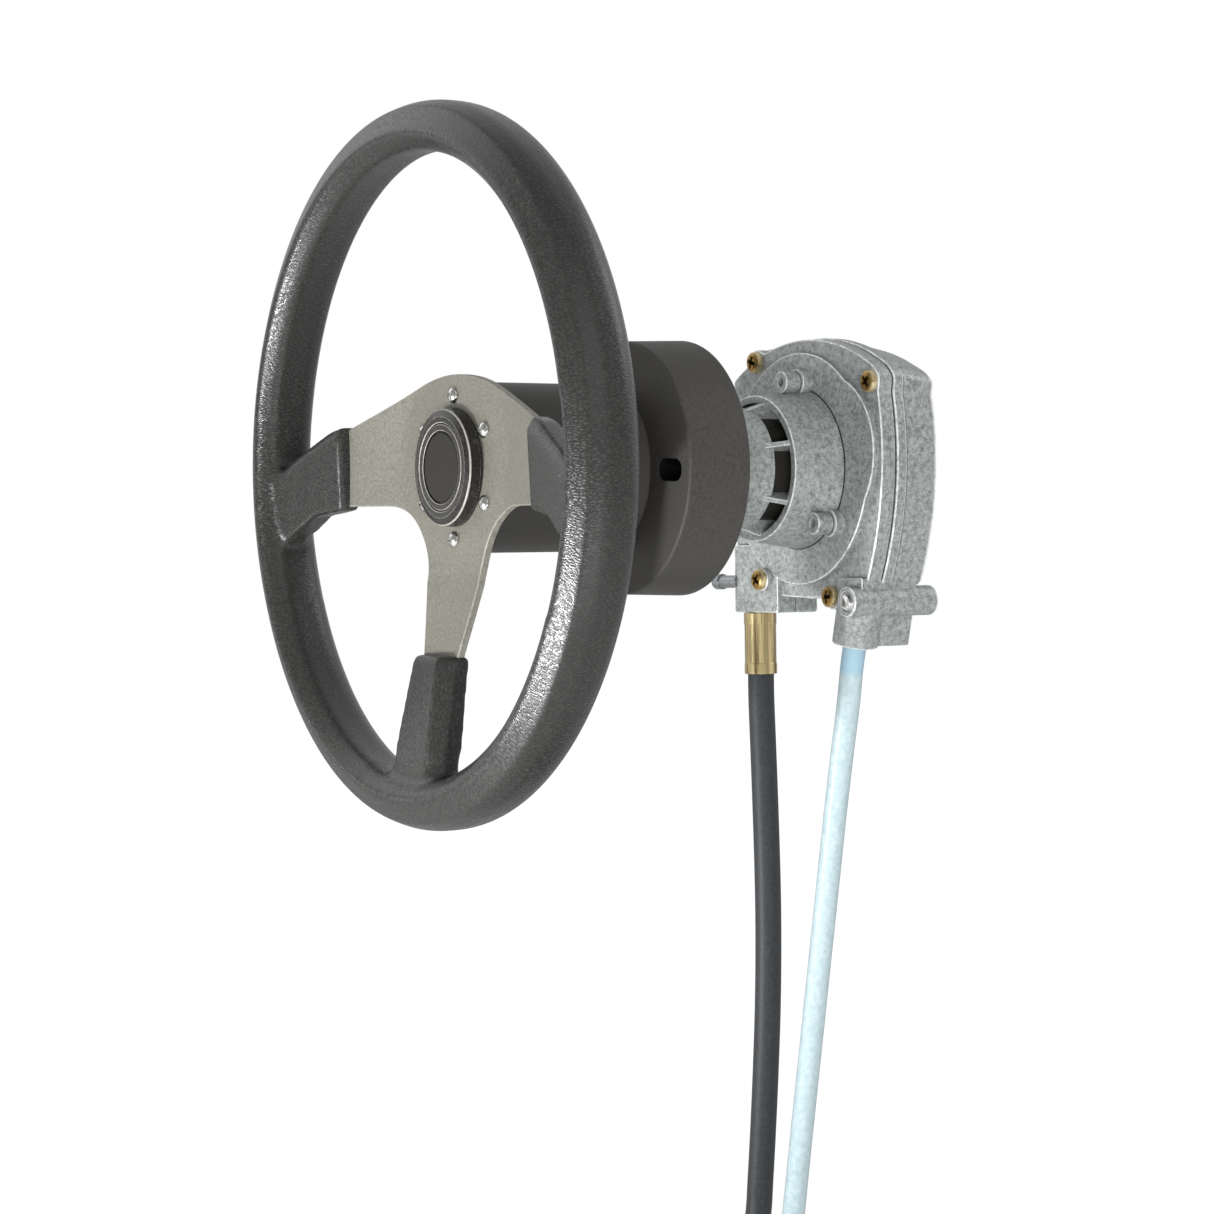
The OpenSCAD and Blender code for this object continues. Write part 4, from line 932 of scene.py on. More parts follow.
@dataclass
class SteeringWheel:
    """Grip with its boots, spoke plate, hub, screws and centre cap."""

    wheel_r: float = 175.0
    grip_w: float = 24.6
    grip_depth: float = 34.4
    grip_y: float = -203.4
    plate_y: float = -187.4
    plate_t: float = 4.0
    middle_r: float = 45.0
    hole_r: float = 20.0
    top_r: float = 125.0
    boot_start: float = 95.0
    bottom_boot_start: float = 91.0
    stand: float = 1.2
    side_up: float = 20.6
    side_down: float = 18.7
    side_drop: float = 25.0
    bottom_top_w: float = 51.5
    bottom_w: float = 34.5
    arc_r: float = 38.0
    outline_points: int = 720
    spoke_rise: float = 9.0
    hub_r: float = 41.6
    hub_rear_y: float = -101.0
    hub_wall: float = 5.0
    hub_floor: float = 15.0
    core_r: float = 20.0
    core_len: float = 58.0
    bore_r: float = 9.6
    nut_room_r: float = 17.0
    nut_room_deep: float = 10.0
    screw_circle_r: float = 35.0
    screw_r: float = 4.2
    screw_h: float = 3.0
    socket_half: float = 1.25
    socket_deep: float = 1.1
    cap_r: float = 28.85
    cap_h: float = 8.1
    cap_sunk: float = 1.6
    cap_lip_r: tuple[float, float] = (21.5, 24.5)
    cap_plug_r: float = 19.8
    cap_plug_len: float = 4.0
    ring_r: tuple[float, float] = (17.8, 20.8)
    badge_r: float = 17.1
    voxel_mm: float = 1.29
    ease_rounds: int = 30
    even_rounds: int = 5
    ease_all: float = 0.25
    ease_joints: float = 0.4

    @property
    def grip_r(self) -> float:
        """Radius of the grip's middle line."""
        return self.wheel_r - self.grip_w / 2

    def dish_y(self, r: Array) -> Array:
        """Front of the dished plate: flat, then rising to the ring, with the bends blurred.

        Args:
            r: Distances from the axis.

        Returns:
            Y at each distance.
        """
        flat_beyond, margin, blur = 8.0, 20.0, np.hanning(21)
        knots = [0.0, self.middle_r + flat_beyond, self.boot_start, self.grip_r]
        heights = [self.plate_y, self.plate_y, self.plate_y - self.spoke_rise, self.grip_y - self.plate_t / 2]
        steps = np.arange(-margin, self.wheel_r + margin)
        bend = blur / blur.sum()
        return np.interp(r, steps, np.convolve(np.interp(steps, knots, heights), bend, "same"))

    def grip(self) -> Shell:
        """The grip: a seven-cornered section with a crease at its outer front, carried round the axis.

        The corners are given across (outwards) and along the axis, rounded, and fitted to the grip's sizes.

        Returns:
            The shell.
        """
        corners = [(9.6, -11.9), (-4.5, -18.5), (-13.5, -10), (-12, 11), (2, 19), (13, 10), (13.2, -4)]
        radii, sides = [1.4, 5, 8, 14, 14, 14, 14], 300
        ring, _ = rounded(np.array(corners), radii, closed=True, steps=8)
        low, high = ring.min(0), ring.max(0)
        ring = (ring - (low + high) / 2) / (high - low) * np.array([self.grip_w, self.grip_depth])
        phi = np.linspace(0.0, TURN, sides, endpoint=False)[:, None]
        r = self.grip_r + ring[None, :, 0]
        rings = np.stack([r * np.cos(phi), self.grip_y + ring[None, :, 1] + 0 * phi, r * np.sin(phi)], -1)
        return ring_stack(rings, loop=True)

    def boot(self, upper: Array, lower: Array, ridge: float, heights: Array) -> Shell:
        """A boot along +X: five-cornered sections with a ridge on the front, lofted from the plate to the grip.

        Args:
            upper: Distance from the axis and height of the upper edge's points.
            lower: The same for the lower edge.
            ridge: Where the ridge lies, from 0 at the lower edge to 1 at the upper edge.
            heights: How far the lower edge, the ridge and the upper edge stand in front of the plate, where
                the boot begins and where it meets the grip.

        Returns:
            The shell.
        """
        start, rows, behind = upper[0, 0], 24, 2.0
        end_x, end_tuck = np.array([(0.0, 2.2), (0.4, 1.0), (1.4, 0.25), (3.0, 0.0)]).T
        x = np.concatenate([start + end_x, np.linspace(start + 6, self.grip_r, rows)])
        tuck = np.concatenate([end_tuck, np.zeros(rows)])
        gone = np.clip((x - start) / (self.grip_r - self.grip_w / 2 - start), 0.0, 1.0)
        top = np.interp(x, *upper.T) - tuck
        low = np.interp(x, *lower.T) + tuck
        back = self.dish_y(x) + self.plate_t + behind - tuck
        front = self.dish_y(x) + tuck - (heights[:, :1] + (heights[:, 1:] - heights[:, :1]) * gone)
        crest = low + (top - low) * ridge
        corners = np.stack([
            np.stack([low, back], -1), np.stack([top, back], -1), np.stack([top, front[2]], -1),
            np.stack([crest, front[1]], -1), np.stack([low, front[0]], -1),
        ], -2)
        ring, _ = rounded(corners, [1.5, 1.5, 1.6, 1.2, 1.2], closed=True)
        rings = np.stack([np.broadcast_to(x[:, None], ring.shape[:2]), ring[..., 1], ring[..., 0]], -1)
        return ring_stack(rings)

    def eased_joints(self, rim: bpy.types.Object) -> None:
        """Eases the skin where the boots run into the grip: each point moves towards its neighbours' mean.

        The first rounds move every point a little, which takes out the remesh's steps.

        Args:
            rim: Object whose mesh is eased.
        """
        mesh = rim.data
        points = np.empty(len(mesh.vertices) * 3, np.float32)
        mesh.vertices.foreach_get("co", points)
        points = points.reshape(-1, 3).astype(float) / MM
        ends = np.empty(len(mesh.edges) * 2, np.int32)
        mesh.edges.foreach_get("vertices", ends)
        a, b = ends.reshape(-1, 2).T
        n = len(points)
        count = np.bincount(np.concatenate([a, b]), minlength=n)[:, None]
        x, _, z = (points @ turned_about("y", -self.stand).T).T
        sides_z, sides_half, bottom_half, full_share, fade_mm = -20, 48, 42, 1.3, 11
        near = (np.abs(z - sides_z) < sides_half) | ((z < 0) & (np.abs(x) < bottom_half))
        off_joint = np.abs(np.hypot(x, z) - (self.grip_r - self.grip_w / 2))
        joints = self.ease_joints * np.where(near, np.clip(full_share - off_joint / fade_mm, 0, 1), 0.0)
        for k in range(self.ease_rounds):
            total = [np.bincount(a, points[b, i], n) + np.bincount(b, points[a, i], n) for i in range(3)]
            weight = self.ease_all + joints if k < self.even_rounds else joints
            points += weight[:, None] * (np.stack(total, -1) / count - points)
        mesh.vertices.foreach_set("co", (points * MM).astype(np.float32).reshape(-1))
        mesh.update()

    def padded_rim(self) -> None:
        """Grip and boots as one moulded skin: joined by a voxel remesh and eased where they meet.

        The boots' edges are given as distance from the axis and height, and the heights as front over the plate.
        """
        b, gr, bend = self.boot_start, self.grip_r, self.grip_r - self.grip_w / 2 - 4
        upper = np.array([(b, 22.4), (b + 12, 19.4), (bend, 1.0), (gr, 6.4)])
        lower = np.array([(b, -20.5), (b + 24, -23.5), (bend, -39.1), (gr, -44.5)])
        right = self.boot(upper, lower, 0.86, np.array([(4.5, 8.6), (6.5, 9.6), (3.0, 8.0)]))
        left = Shell(right.points * np.array([-1.0, 1.0, 1.0]), right.faces, right.painted_light_and_tone)
        edge = np.array([(self.bottom_boot_start, 19.05), (bend, 22.6), (gr, 28.0)])
        bottom = self.boot(edge, edge * np.array([1.0, -1.0]), 0.83, np.array([(4.5, 8.6), (9.5, 10.0), (1.0, 4.0)]))
        boots = joined([right, left, bottom.moved(turn=turned_about("y", 90))]).moved(
            turn=turned_about("y", self.stand))
        rim = make_piece("padded_rim", joined([self.grip(), boots]), GRIP, Body.WHEEL, ("wheel_rim",))
        remesh = rim.modifiers.new("one_skin", "REMESH")
        remesh.mode, remesh.voxel_size, remesh.use_smooth_shade = "VOXEL", self.voxel_mm * MM, True
        apply_modifiers(rim)
        self.eased_joints(rim)

    def plate_outline(self) -> Array:
        """Outline of the spoke plate: a crown, three arms and the arcs between them, read at an even spacing.

        Returns:
            Points across and up, counter-clockwise.
        """
        b = self.boot_start
        top_z = self.middle_r - self.top_r
        far = math.hypot(b, self.side_up - top_z)
        at = math.atan2(self.side_up - top_z, b) + math.acos(self.top_r / far)
        a = np.linspace(math.pi / 2, at, 12)
        top = np.array([0.0, top_z]) + self.top_r * np.stack([np.cos(a), np.sin(a)], -1)
        sunk = 8.0
        end, d = self.grip_r - sunk, self.side_drop
        side = np.array([
            (b, self.side_up), (b + 12, self.side_up - 0.12 * d), (end, self.side_up - d),
            (end, -self.side_down - 0.38 * d), (b + 24, -self.side_down - 0.16 * d), (b, -self.side_down),
        ])
        turn = np.linspace(math.pi / 2, math.pi, 16)
        centre = np.array([self.bottom_top_w / 2 + self.arc_r, -self.side_down - self.arc_r])
        arc = centre + self.arc_r * np.stack([np.cos(turn), np.sin(turn)], -1)
        foot = np.array([(self.bottom_w / 2, -self.bottom_boot_start), (self.bottom_w / 2, -end)])
        half = np.concatenate([top, side, arc, foot])
        whole = np.concatenate([half, half[:0:-1] * np.array([-1.0, 1.0])])
        return evenly(np.concatenate([whole, whole[:1]]), self.outline_points + 1)[-2::-1]

    def spoke_plate(self) -> None:
        """Dished plate: rings between the centre hole and the outline, with a fine bevel on each edge."""
        outline = self.plate_outline()
        out = outward(outline)
        hole = outline / np.linalg.norm(outline, axis=1, keepdims=True) * self.hole_r
        bevel, rows = 0.5, 40
        share = np.linspace(0.0, 1.0, rows)[:, None, None]
        face = np.concatenate([hole + (outline - out * (bevel + 0.5) - hole) * share, (outline - out * bevel)[None]])
        flat = np.concatenate([face, outline[None], outline[None], face[::-1]])
        t = self.plate_t
        depth = np.concatenate([np.zeros(rows + 1), [bevel, t - bevel], np.full(rows + 1, t)])
        # Painted highlight along the bevels of the sheet's edges.
        painted_light_and_tone = np.concatenate([np.zeros(rows), [0.35, 0.4, 0.4, 0.35], np.zeros(rows)])
        y = self.dish_y(np.linalg.norm(flat, axis=-1)) + depth[:, None]
        shell = ring_stack(np.stack([flat[..., 0], y, flat[..., 1]], -1), painted_light_and_tone, loop=True)
        make_piece("spoke_plate_sheet", shell.moved(turn=turned_about("y", self.stand)), PLATE, Body.WHEEL,
                   ("spoke_plate",), sharp_degrees=30.0)

    def hub(self) -> None:
        """Hub: a black drum with eased edges, open at the back over its core."""
        front, rear = self.plate_y + self.plate_t, self.hub_rear_y
        inside_r, floor, core_y, room_y = (
            self.hub_r - self.hub_wall, front + self.hub_floor, front + self.core_len, front + self.nut_room_deep)
        shell = lathe([
            (self.nut_room_r, front, 0.4), (self.hub_r, front, 0.8), (self.hub_r, rear, 1.0), (inside_r, rear, 0.6),
            (inside_r, floor, -2.0), (self.core_r, floor, -2.0), (self.core_r, core_y, 1.0),
            (self.bore_r, core_y, 0.2), (self.bore_r, room_y, 0.2), (self.nut_room_r, room_y, 0.4),
        ], closed=True, sides=128)
        make_piece("hub_drum", shell, HUB, Body.WHEEL, ("wheel_hub",))

    def screws(self) -> None:
        """Six button-head screws: domes with a hexagon socket, y = plate - dome(r) + socket depth."""
        r = np.linspace(0.05, 1.0, 18)[:, None] * self.screw_r
        a = np.linspace(0.0, TURN, 48, endpoint=False)[None, :]
        dome = self.screw_h * np.sqrt(np.maximum(0.0, 1 - (r / self.screw_r) ** 2 * 0.98))
        wedge = (a + math.pi / 6) % (math.pi / 3) - math.pi / 6
        slope = 0.25
        socket = np.clip((self.socket_half - r * np.cos(wedge)) / slope, 0.0, 1.0) * self.socket_deep
        head = screw_head(r, a, self.plate_y - dome + socket, self.plate_y + 0.2)
        heads = [
            head.moved((self.screw_circle_r, 0, 0)).moved(turn=turned_about("y", self.stand - 90 - 60 * k))
            for k in range(6)
        ]
        make_piece("hub_screw_heads", joined(heads), BRIGHT, Body.WHEEL, ("hub_screws",),
                   sharp_degrees=50.0)

    def cap(self) -> None:
        """Centre cap with a raised lip, two ring grooves and a plain, slightly domed badge disc."""
        seat, front = self.plate_y, self.plate_y - self.cap_h
        sunk, plug_end = front + self.cap_sunk, seat + self.cap_plug_len
        lip_in, lip_out = self.cap_lip_r
        cap = lathe([
            (0.5, sunk, 0.0), (lip_in, sunk, -0.3), (lip_in, front, 0.5), (lip_out, front, 0.5),
            (self.cap_r - 0.6, front + 1.2, 1.2), (self.cap_r, seat - 1.6, 0.6), (self.cap_r, seat, 0.3),
            (self.cap_plug_r, seat, 0.2), (self.cap_plug_r, plug_end, 0.2), (0.5, plug_end, 0.0),
        ])
        make_piece("cap_body", cap, CAP, Body.WHEEL, ("centre_cap",))
        ring_in, ring_out = self.ring_r
        ring = lathe([
            (ring_in, sunk, 0.2), (ring_in, front + 0.1, 0.4), (ring_out, front + 0.1, 0.4), (ring_out, sunk, 0.2),
        ], closed=True)
        make_piece("cap_inner_ring", ring, CAP, Body.WHEEL, ("cap_ring",))
        badge = lathe([
            (0.3, front, 0.0), (9.0, front + 0.1, -4.0), (self.badge_r - 0.5, front + 0.45, 0.4),
            (self.badge_r, sunk, 0.2), (0.3, sunk, 0.0),
        ])
        make_piece("cap_badge_disc", badge, BADGE, Body.WHEEL, ("cap_badge",))

    def build(self) -> None:
        """Makes the whole wheel."""
        self.padded_rim()
        self.spoke_plate()
        self.hub()
        self.screws()
        self.cap()


@dataclass
class Bezel:
    """Round dash bezel with its collar and three radial bolt slots."""

    front_r: float = 63.4
    rear_r: float = 64.5
    front_y: float = -92.4
    rear_y: float = -58.0
    wall: float = 3.0
    face: float = 4.0
    shaft_hole_r: float = 11.5
    collar_r: tuple[float, float] = (31.15, 34.15)
    collar_short: float = 1.0
    slot_r: float = 5.3
    slot_run: float = 10.0
    slot_circle_r: float = 45.0
    slot_turn: float = 3.0
    sleeve_wall: float = 2.2
    sleeve_short: float = 2.0
    lining: float = 0.3
    lining_bite: float = 0.1
    lining_sunk: float = 0.3

    def at_slots(self, shell: Shell) -> Shell:
        """Copies of a shell at the three slots."""
        out = shell.moved((self.slot_circle_r, 0, 0))
        return joined([out.moved(turn=turned_about("y", self.slot_turn - 120 * k)) for k in range(3)])

    def build(self) -> None:
        """Turned shell with eased edges; three bars cut its slots by a Boolean, and sleeves line them, painted deep
        black as shade.
        """
        front, rear, back = self.front_y, self.rear_y, self.front_y + self.face
        collar_in, collar_out = self.collar_r
        collar_end = rear - self.collar_short
        shell = lathe([
            (self.shaft_hole_r, front, 0.5), (self.front_r, front, 1.6), (self.rear_r, rear, 0.8),
            (self.rear_r - self.wall, rear, 0.5), (self.front_r - self.wall, back, -1.5), (collar_out, back, -1.0),
            (collar_out, collar_end, 0.5), (collar_in, collar_end, 0.5), (collar_in, back, -0.5),
            (self.shaft_hole_r, back, 0.5),
        ], closed=True, sides=192)
        bezel = make_piece("dash_bezel", shell, BEZEL, Body.HOUSING, ("bezel",))
        wall, end, start = self.sleeve_wall, rear - self.sleeve_short, back - 1
        thin, lip = wall - self.lining - self.lining_bite, front + self.lining_sunk
        sleeves = slab(stadium(self.slot_run, self.slot_r + wall), [
            (0.0, start, 0.2), (0.0, end, 0.5), (wall, end, 0.5), (wall, lip, 0.1), (thin, lip, 0.1),
            (thin, start, 0.0)], closed=True)
        # Painted shade: the sleeves are painted deep black all over, for the shade inside the slots.
        sleeves.painted_light_and_tone[:] = -1.0
        make_piece("bezel_sleeves", self.at_slots(sleeves), BEZEL, Body.HOUSING)
        past, drawn_in = 4, 2.0
        bar = slab(stadium(self.slot_run, self.slot_r + self.lining), [
            (drawn_in, front - past, 0.0), (0.0, front - past, 0.1), (0.0, back + past, 0.1),
            (drawn_in, back + past, 0.0)])
        cutter = make_piece("bezel_cutter", self.at_slots(bar), BEZEL, Body.HOUSING)
        cut = bezel.modifiers.new("bolt_slots", "BOOLEAN")
        cut.operation, cut.object, cut.solver = "DIFFERENCE", cutter, "EXACT"
        apply_modifiers(bezel)
        bezel.data.set_sharp_from_angle(angle=math.radians(SHARP_DEGREES))
        bpy.data.objects.remove(cutter)


@dataclass
class GearHousing:
    """Cast front housing, rear cover, gasket and screws.

    The five circles, each a place across and up and a radius, bound the outline. Painted shade lies on the neck,
    behind the nose and inside the boss.
    """

    bore_r: float = 13.0
    nose_r: float = 31.0
    nose_y: float = -88.4
    neck_r: float = 27.0
    neck_y: tuple[float, float] = (-19.9, 3.9)
    boss_r: tuple[float, float] = (33.6, 37.6)
    boss_y: float = -12.3
    boss_foot_r: float = 41.6
    skirt_r: float = 48.0
    shade_r: tuple[float, float] = (26.5, 33.5)
    shade_y: tuple[float, float] = (-19.5, 5.0)
    rib_count: int = 7
    rib_turn: float = -20.0
    rib_half: float = 1.3
    rib_corners: tuple[tuple[float, float], ...] = (
        (26.0, -27.5), (30.2, -27.5), (35.4, -12.0), (35.4, 5.0), (26.0, 5.0)
    )
    lug_count: int = 3
    lug_circle_r: float = 45.0
    lug_turn: float = -80.0
    lug_r: tuple[float, float, float] = (2.5, 5.6, 7.0)
    circles: tuple[tuple[float, float, float], ...] = (
        (-91.5, 6.0, 160.0), (91.5, 6.0, 160.0), (0.0, -53.0, 120.0), (0.0, 173.0, 240.0), (0.0, 0.0, 80.5)
    )
    disc_y: float = 15.6
    disc_r: float = 60.2
    bulge: float = 6.5
    bulge_r: float = 40.0
    bulge_at: float = 15.0
    flange_y: float = 19.0
    parting_y: float = 27.4
    cover_y: float = 28.2
    back_y: float = 54.6
    panel_deep: float = 1.0
    lip: float = 5.0
    cover_grow: float = 0.9
    cover_slope: float = 10.0
    slope_z: tuple[float, float] = (25.0, 55.0)
    inlet_y: float = 12.6
    block_box: tuple[float, float, float, float] = (-60.5, -75.0, -20.5, -39.0)
    block_y: tuple[float, float] = (16.0, 41.8)
    ear_r: float = 6.8
    head_r: float = 5.5
    head_h: float = 4.0
    recess_deep: float = 2.8
    recess_arm: tuple[float, float] = (3.4, 1.0)
    screws_at: tuple[tuple[float, float], ...] = ((-41.0, 58.0), (60.0, 42.0), (24.0, -66.5))
    inlet_screw: tuple[float, float] = (-30.5, -57.5)

    def outline(self, grow: float) -> Array:
        """The housing seen from the driver, as a distance from the axis at each angle.

        Five circles bound it, so the distance is the least at which a ray leaves one of them; an ear round
        each screw pushes it out again.

        Args:
            grow: Millimetres added all round.

        Returns:
            Points across and up, counter-clockwise.
        """
        ray = self._rays(540)
        r = np.min([self._leaves(ray, np.array([x, z]), radius) for x, z, radius in self.circles], 0)
        for place in self.screws_at:
            r = np.fmax(r, self._leaves(ray, np.array(place), self.ear_r))
        blur, side = np.hanning(9), 4
        r = np.convolve(np.concatenate([r[-side:], r, r[:side]]), blur / blur.sum(), "valid")
        return ray * (r + grow)[:, None]

    @staticmethod
    def _rays(count: int) -> Array:
        """Unit directions across and up, evenly spread, counter-clockwise."""
        a = np.linspace(0.0, TURN, count, endpoint=False)
        return np.stack([np.cos(a), np.sin(a)], -1)

    @staticmethod
    def _leaves(ray: Array, centre: Array, radius: float) -> Array:
        """Where rays from the axis leave a circle.

        Args:
            ray: Unit directions.
            centre: Middle of the circle.
            radius: Radius of the circle.

        Returns:
            Distances, not-a-number where a ray misses the circle.
        """
        along = ray @ centre
        inside = along**2 + radius**2 - centre @ centre
        return along + np.sqrt(np.where(inside >= 0, inside, np.nan))

    def disc_outline(self) -> Array:
        """The raised disc, as a distance from the axis at each angle: a circle with a bulge on its right.

        Returns:
            Points across and up, counter-clockwise.
        """
        ray = self._rays(360)
        out = self.disc_r + self.bulge - self.bulge_r
        at = math.radians(self.bulge_at)
        swell = self._leaves(ray, out * np.array([math.cos(at), math.sin(at)]), self.bulge_r)
        return ray * np.fmax(swell, self.disc_r)[:, None]

    def front(self) -> None:
        """Front housing: turned nose, neck and boss, ribs, lugs, raised disc, flange and inlet block."""
        deep = self.flange_y + 2
        (neck_front, neck_back), (boss_in, boss_out) = self.neck_y, self.boss_r
        nose = lathe([
            (self.bore_r, self.nose_y, 0.3), (self.nose_r, self.nose_y, 0.8), (self.nose_r, neck_front, 0.8),
            (self.neck_r, neck_front, -1.0), (self.neck_r, neck_back, -1.5), (boss_in, neck_back, -1.5),
            (boss_in, self.boss_y, 0.7), (boss_out, self.boss_y, 0.9),
            (self.boss_foot_r, self.disc_y + 0.05, -1.0), (self.skirt_r, self.disc_y + 0.3, 0.0),
            (self.skirt_r, deep, 0.2), (self.bore_r, deep, 0.2),
        ], closed=True, sides=144)
        out, y = np.hypot(nose.points[:, 0], nose.points[:, 2]), nose.points[:, 1]
        (shade_in, shade_out), (shade_front, shade_back) = self.shade_r, self.shade_y
        # Painted shade: the neck behind the nose and inside the boss takes the casting's dark shade colour.
        nose.painted_light_and_tone[(out > shade_in) & (out < shade_out) & (y > shade_front) & (y < shade_back)] = -1.0
        disc = slab(self.disc_outline(), eased(self.disc_y, deep, 1.2, 0.2))
        rib_outline, _ = rounded(np.array(self.rib_corners), [0.3, 1.5, 0.8, 0.3, 0.3], closed=True)
        rib = slab(rib_outline, eased(-self.rib_half, self.rib_half, 0.6, 0.6)).laid("xzy")
        spread = 360 / self.rib_count
        ribs = [rib.moved(turn=turned_about("y", self.rib_turn - spread * k)) for k in range(self.rib_count)]
        hole, tip, root = self.lug_r
        lug = lathe([
            (hole, 12.0, 0.1), (hole, 0.0, 0.3), (tip, 0.0, 0.8), (tip, 9.2, -0.5), (root, 9.7, 0.6),
            (root, deep, 0.2), (hole, deep, 0.1),
        ], closed=True, sides=48).moved((self.lug_circle_r, 0, 0))
        apart = 360 / self.lug_count
        lugs = [lug.moved(turn=turned_about("y", self.lug_turn - apart * k)) for k in range(self.lug_count)]
        flange = slab(self.outline(0.0), eased(self.flange_y, self.parting_y, 1.4, 0.9))
        block = slab(rectangle(*self.block_box, 2.0), eased(self.block_y[0], self.parting_y, 1.0, 0.3))
        pad = lathe([(0.5, self.inlet_y, 0.0), (5.9, self.inlet_y, 0.6), (6.2, deep, 0.2), (0.5, deep, 0.0)], sides=48)
        pad = pad.moved((self.inlet_screw[0], 0, self.inlet_screw[1]))
        make_piece("front_casting", joined([nose, disc, *ribs, *lugs, flange, block, pad]), CASTING,
                   Body.HOUSING, ("front_housing",))

    def rear(self) -> None:
        """Rear cover: a lip at the parting face, a wall drawn in behind it, and a shallow panel at the back.

        Behind the lip, the top is lowered by a slope that fades out down the sides.
        """
        lip_y, panel_y = self.cover_y + self.lip, self.back_y - self.panel_deep
        cover = slab(self.outline(self.cover_grow), [
            (6.0, self.cover_y, 0.0), (0.0, self.cover_y, 1.0), (0.0, lip_y + 0.5, 0.9), (0.9, lip_y + 1.6, -0.7),
            (1.1, self.back_y, 3.0), (10.0, self.back_y, 0.6), (11.2, panel_y, -0.6), (16.0, panel_y, 0.0)])
        _, y, z = cover.points.T
        drop = math.tan(math.radians(self.cover_slope)) * np.maximum(0.0, y - lip_y)
        none_z, all_z = self.slope_z
        cover.points[:, 2] = z - drop * np.clip((z - none_z) / (all_z - none_z), 0.0, 1.0)
        block = slab(rectangle(*self.block_box, 2.0), eased(self.cover_y, self.block_y[1], 0.3, 1.2))
        make_piece("rear_casting", joined([cover, block]), CASTING, Body.HOUSING, ("rear_cover",))
        sheet = slab(self.outline(-0.4), eased(self.parting_y - 0.2, self.cover_y + 0.2, 0.1, 0.1))
        make_piece("gasket_edge", sheet, GASKET, Body.HOUSING, ("housing_gasket",))

    def screws(self) -> None:
        """Pan-head screws with a cross recess, y = seat - dome(r) + recess depth; a painted highlight rises to the rim
        and painted shade fills the recess.
        """
        rows, (arm_long, arm_half) = 22, self.recess_arm
        drop, bend, ramp, taper, dark_deep, first_turn, more_turn = 0.55, 0.6, 0.3, 0.3, 2.0, 20, 35
        r = np.linspace(0.04, 1.0, rows)[:, None] * self.head_r
        a = np.linspace(0.0, TURN, 72, endpoint=False)[None, :]
        dome = self.head_h * (1 - drop * (r / self.head_r) ** 4) ** bend
        x, z = np.abs(r * np.cos(a)), np.abs(r * np.sin(a))
        arm = np.minimum(np.maximum(x / arm_long, z / arm_half), np.maximum(z / arm_long, x / arm_half))
        recess = self.recess_deep * np.clip((1.0 - arm) / ramp, 0.0, 1.0) * (1 - taper * r / self.head_r)
        # Painted light: rising to a highlight at the rim, and down to shade in the recess.
        painted_light_and_tone = np.linspace(0, 1, rows + 1)[:, None] ** 6 - np.concatenate([recess, np.zeros_like(a)]) / dark_deep
        head = screw_head(r, a, recess - dome, 0.2, painted_light_and_tone)
        places = [(x, self.flange_y, z) for x, z in self.screws_at]
        places.append((self.inlet_screw[0], self.inlet_y, self.inlet_screw[1]))
        heads = [head.moved(p, turned_about("y", first_turn + more_turn * k)) for k, p in enumerate(places)]
        make_piece("housing_screw_heads", joined(heads), ZINC, Body.HOUSING, ("housing_screws",),
                   sharp_degrees=50.0)

    def build(self) -> None:
        """Makes the whole housing."""
        self.front()
        self.rear()
        self.screws()


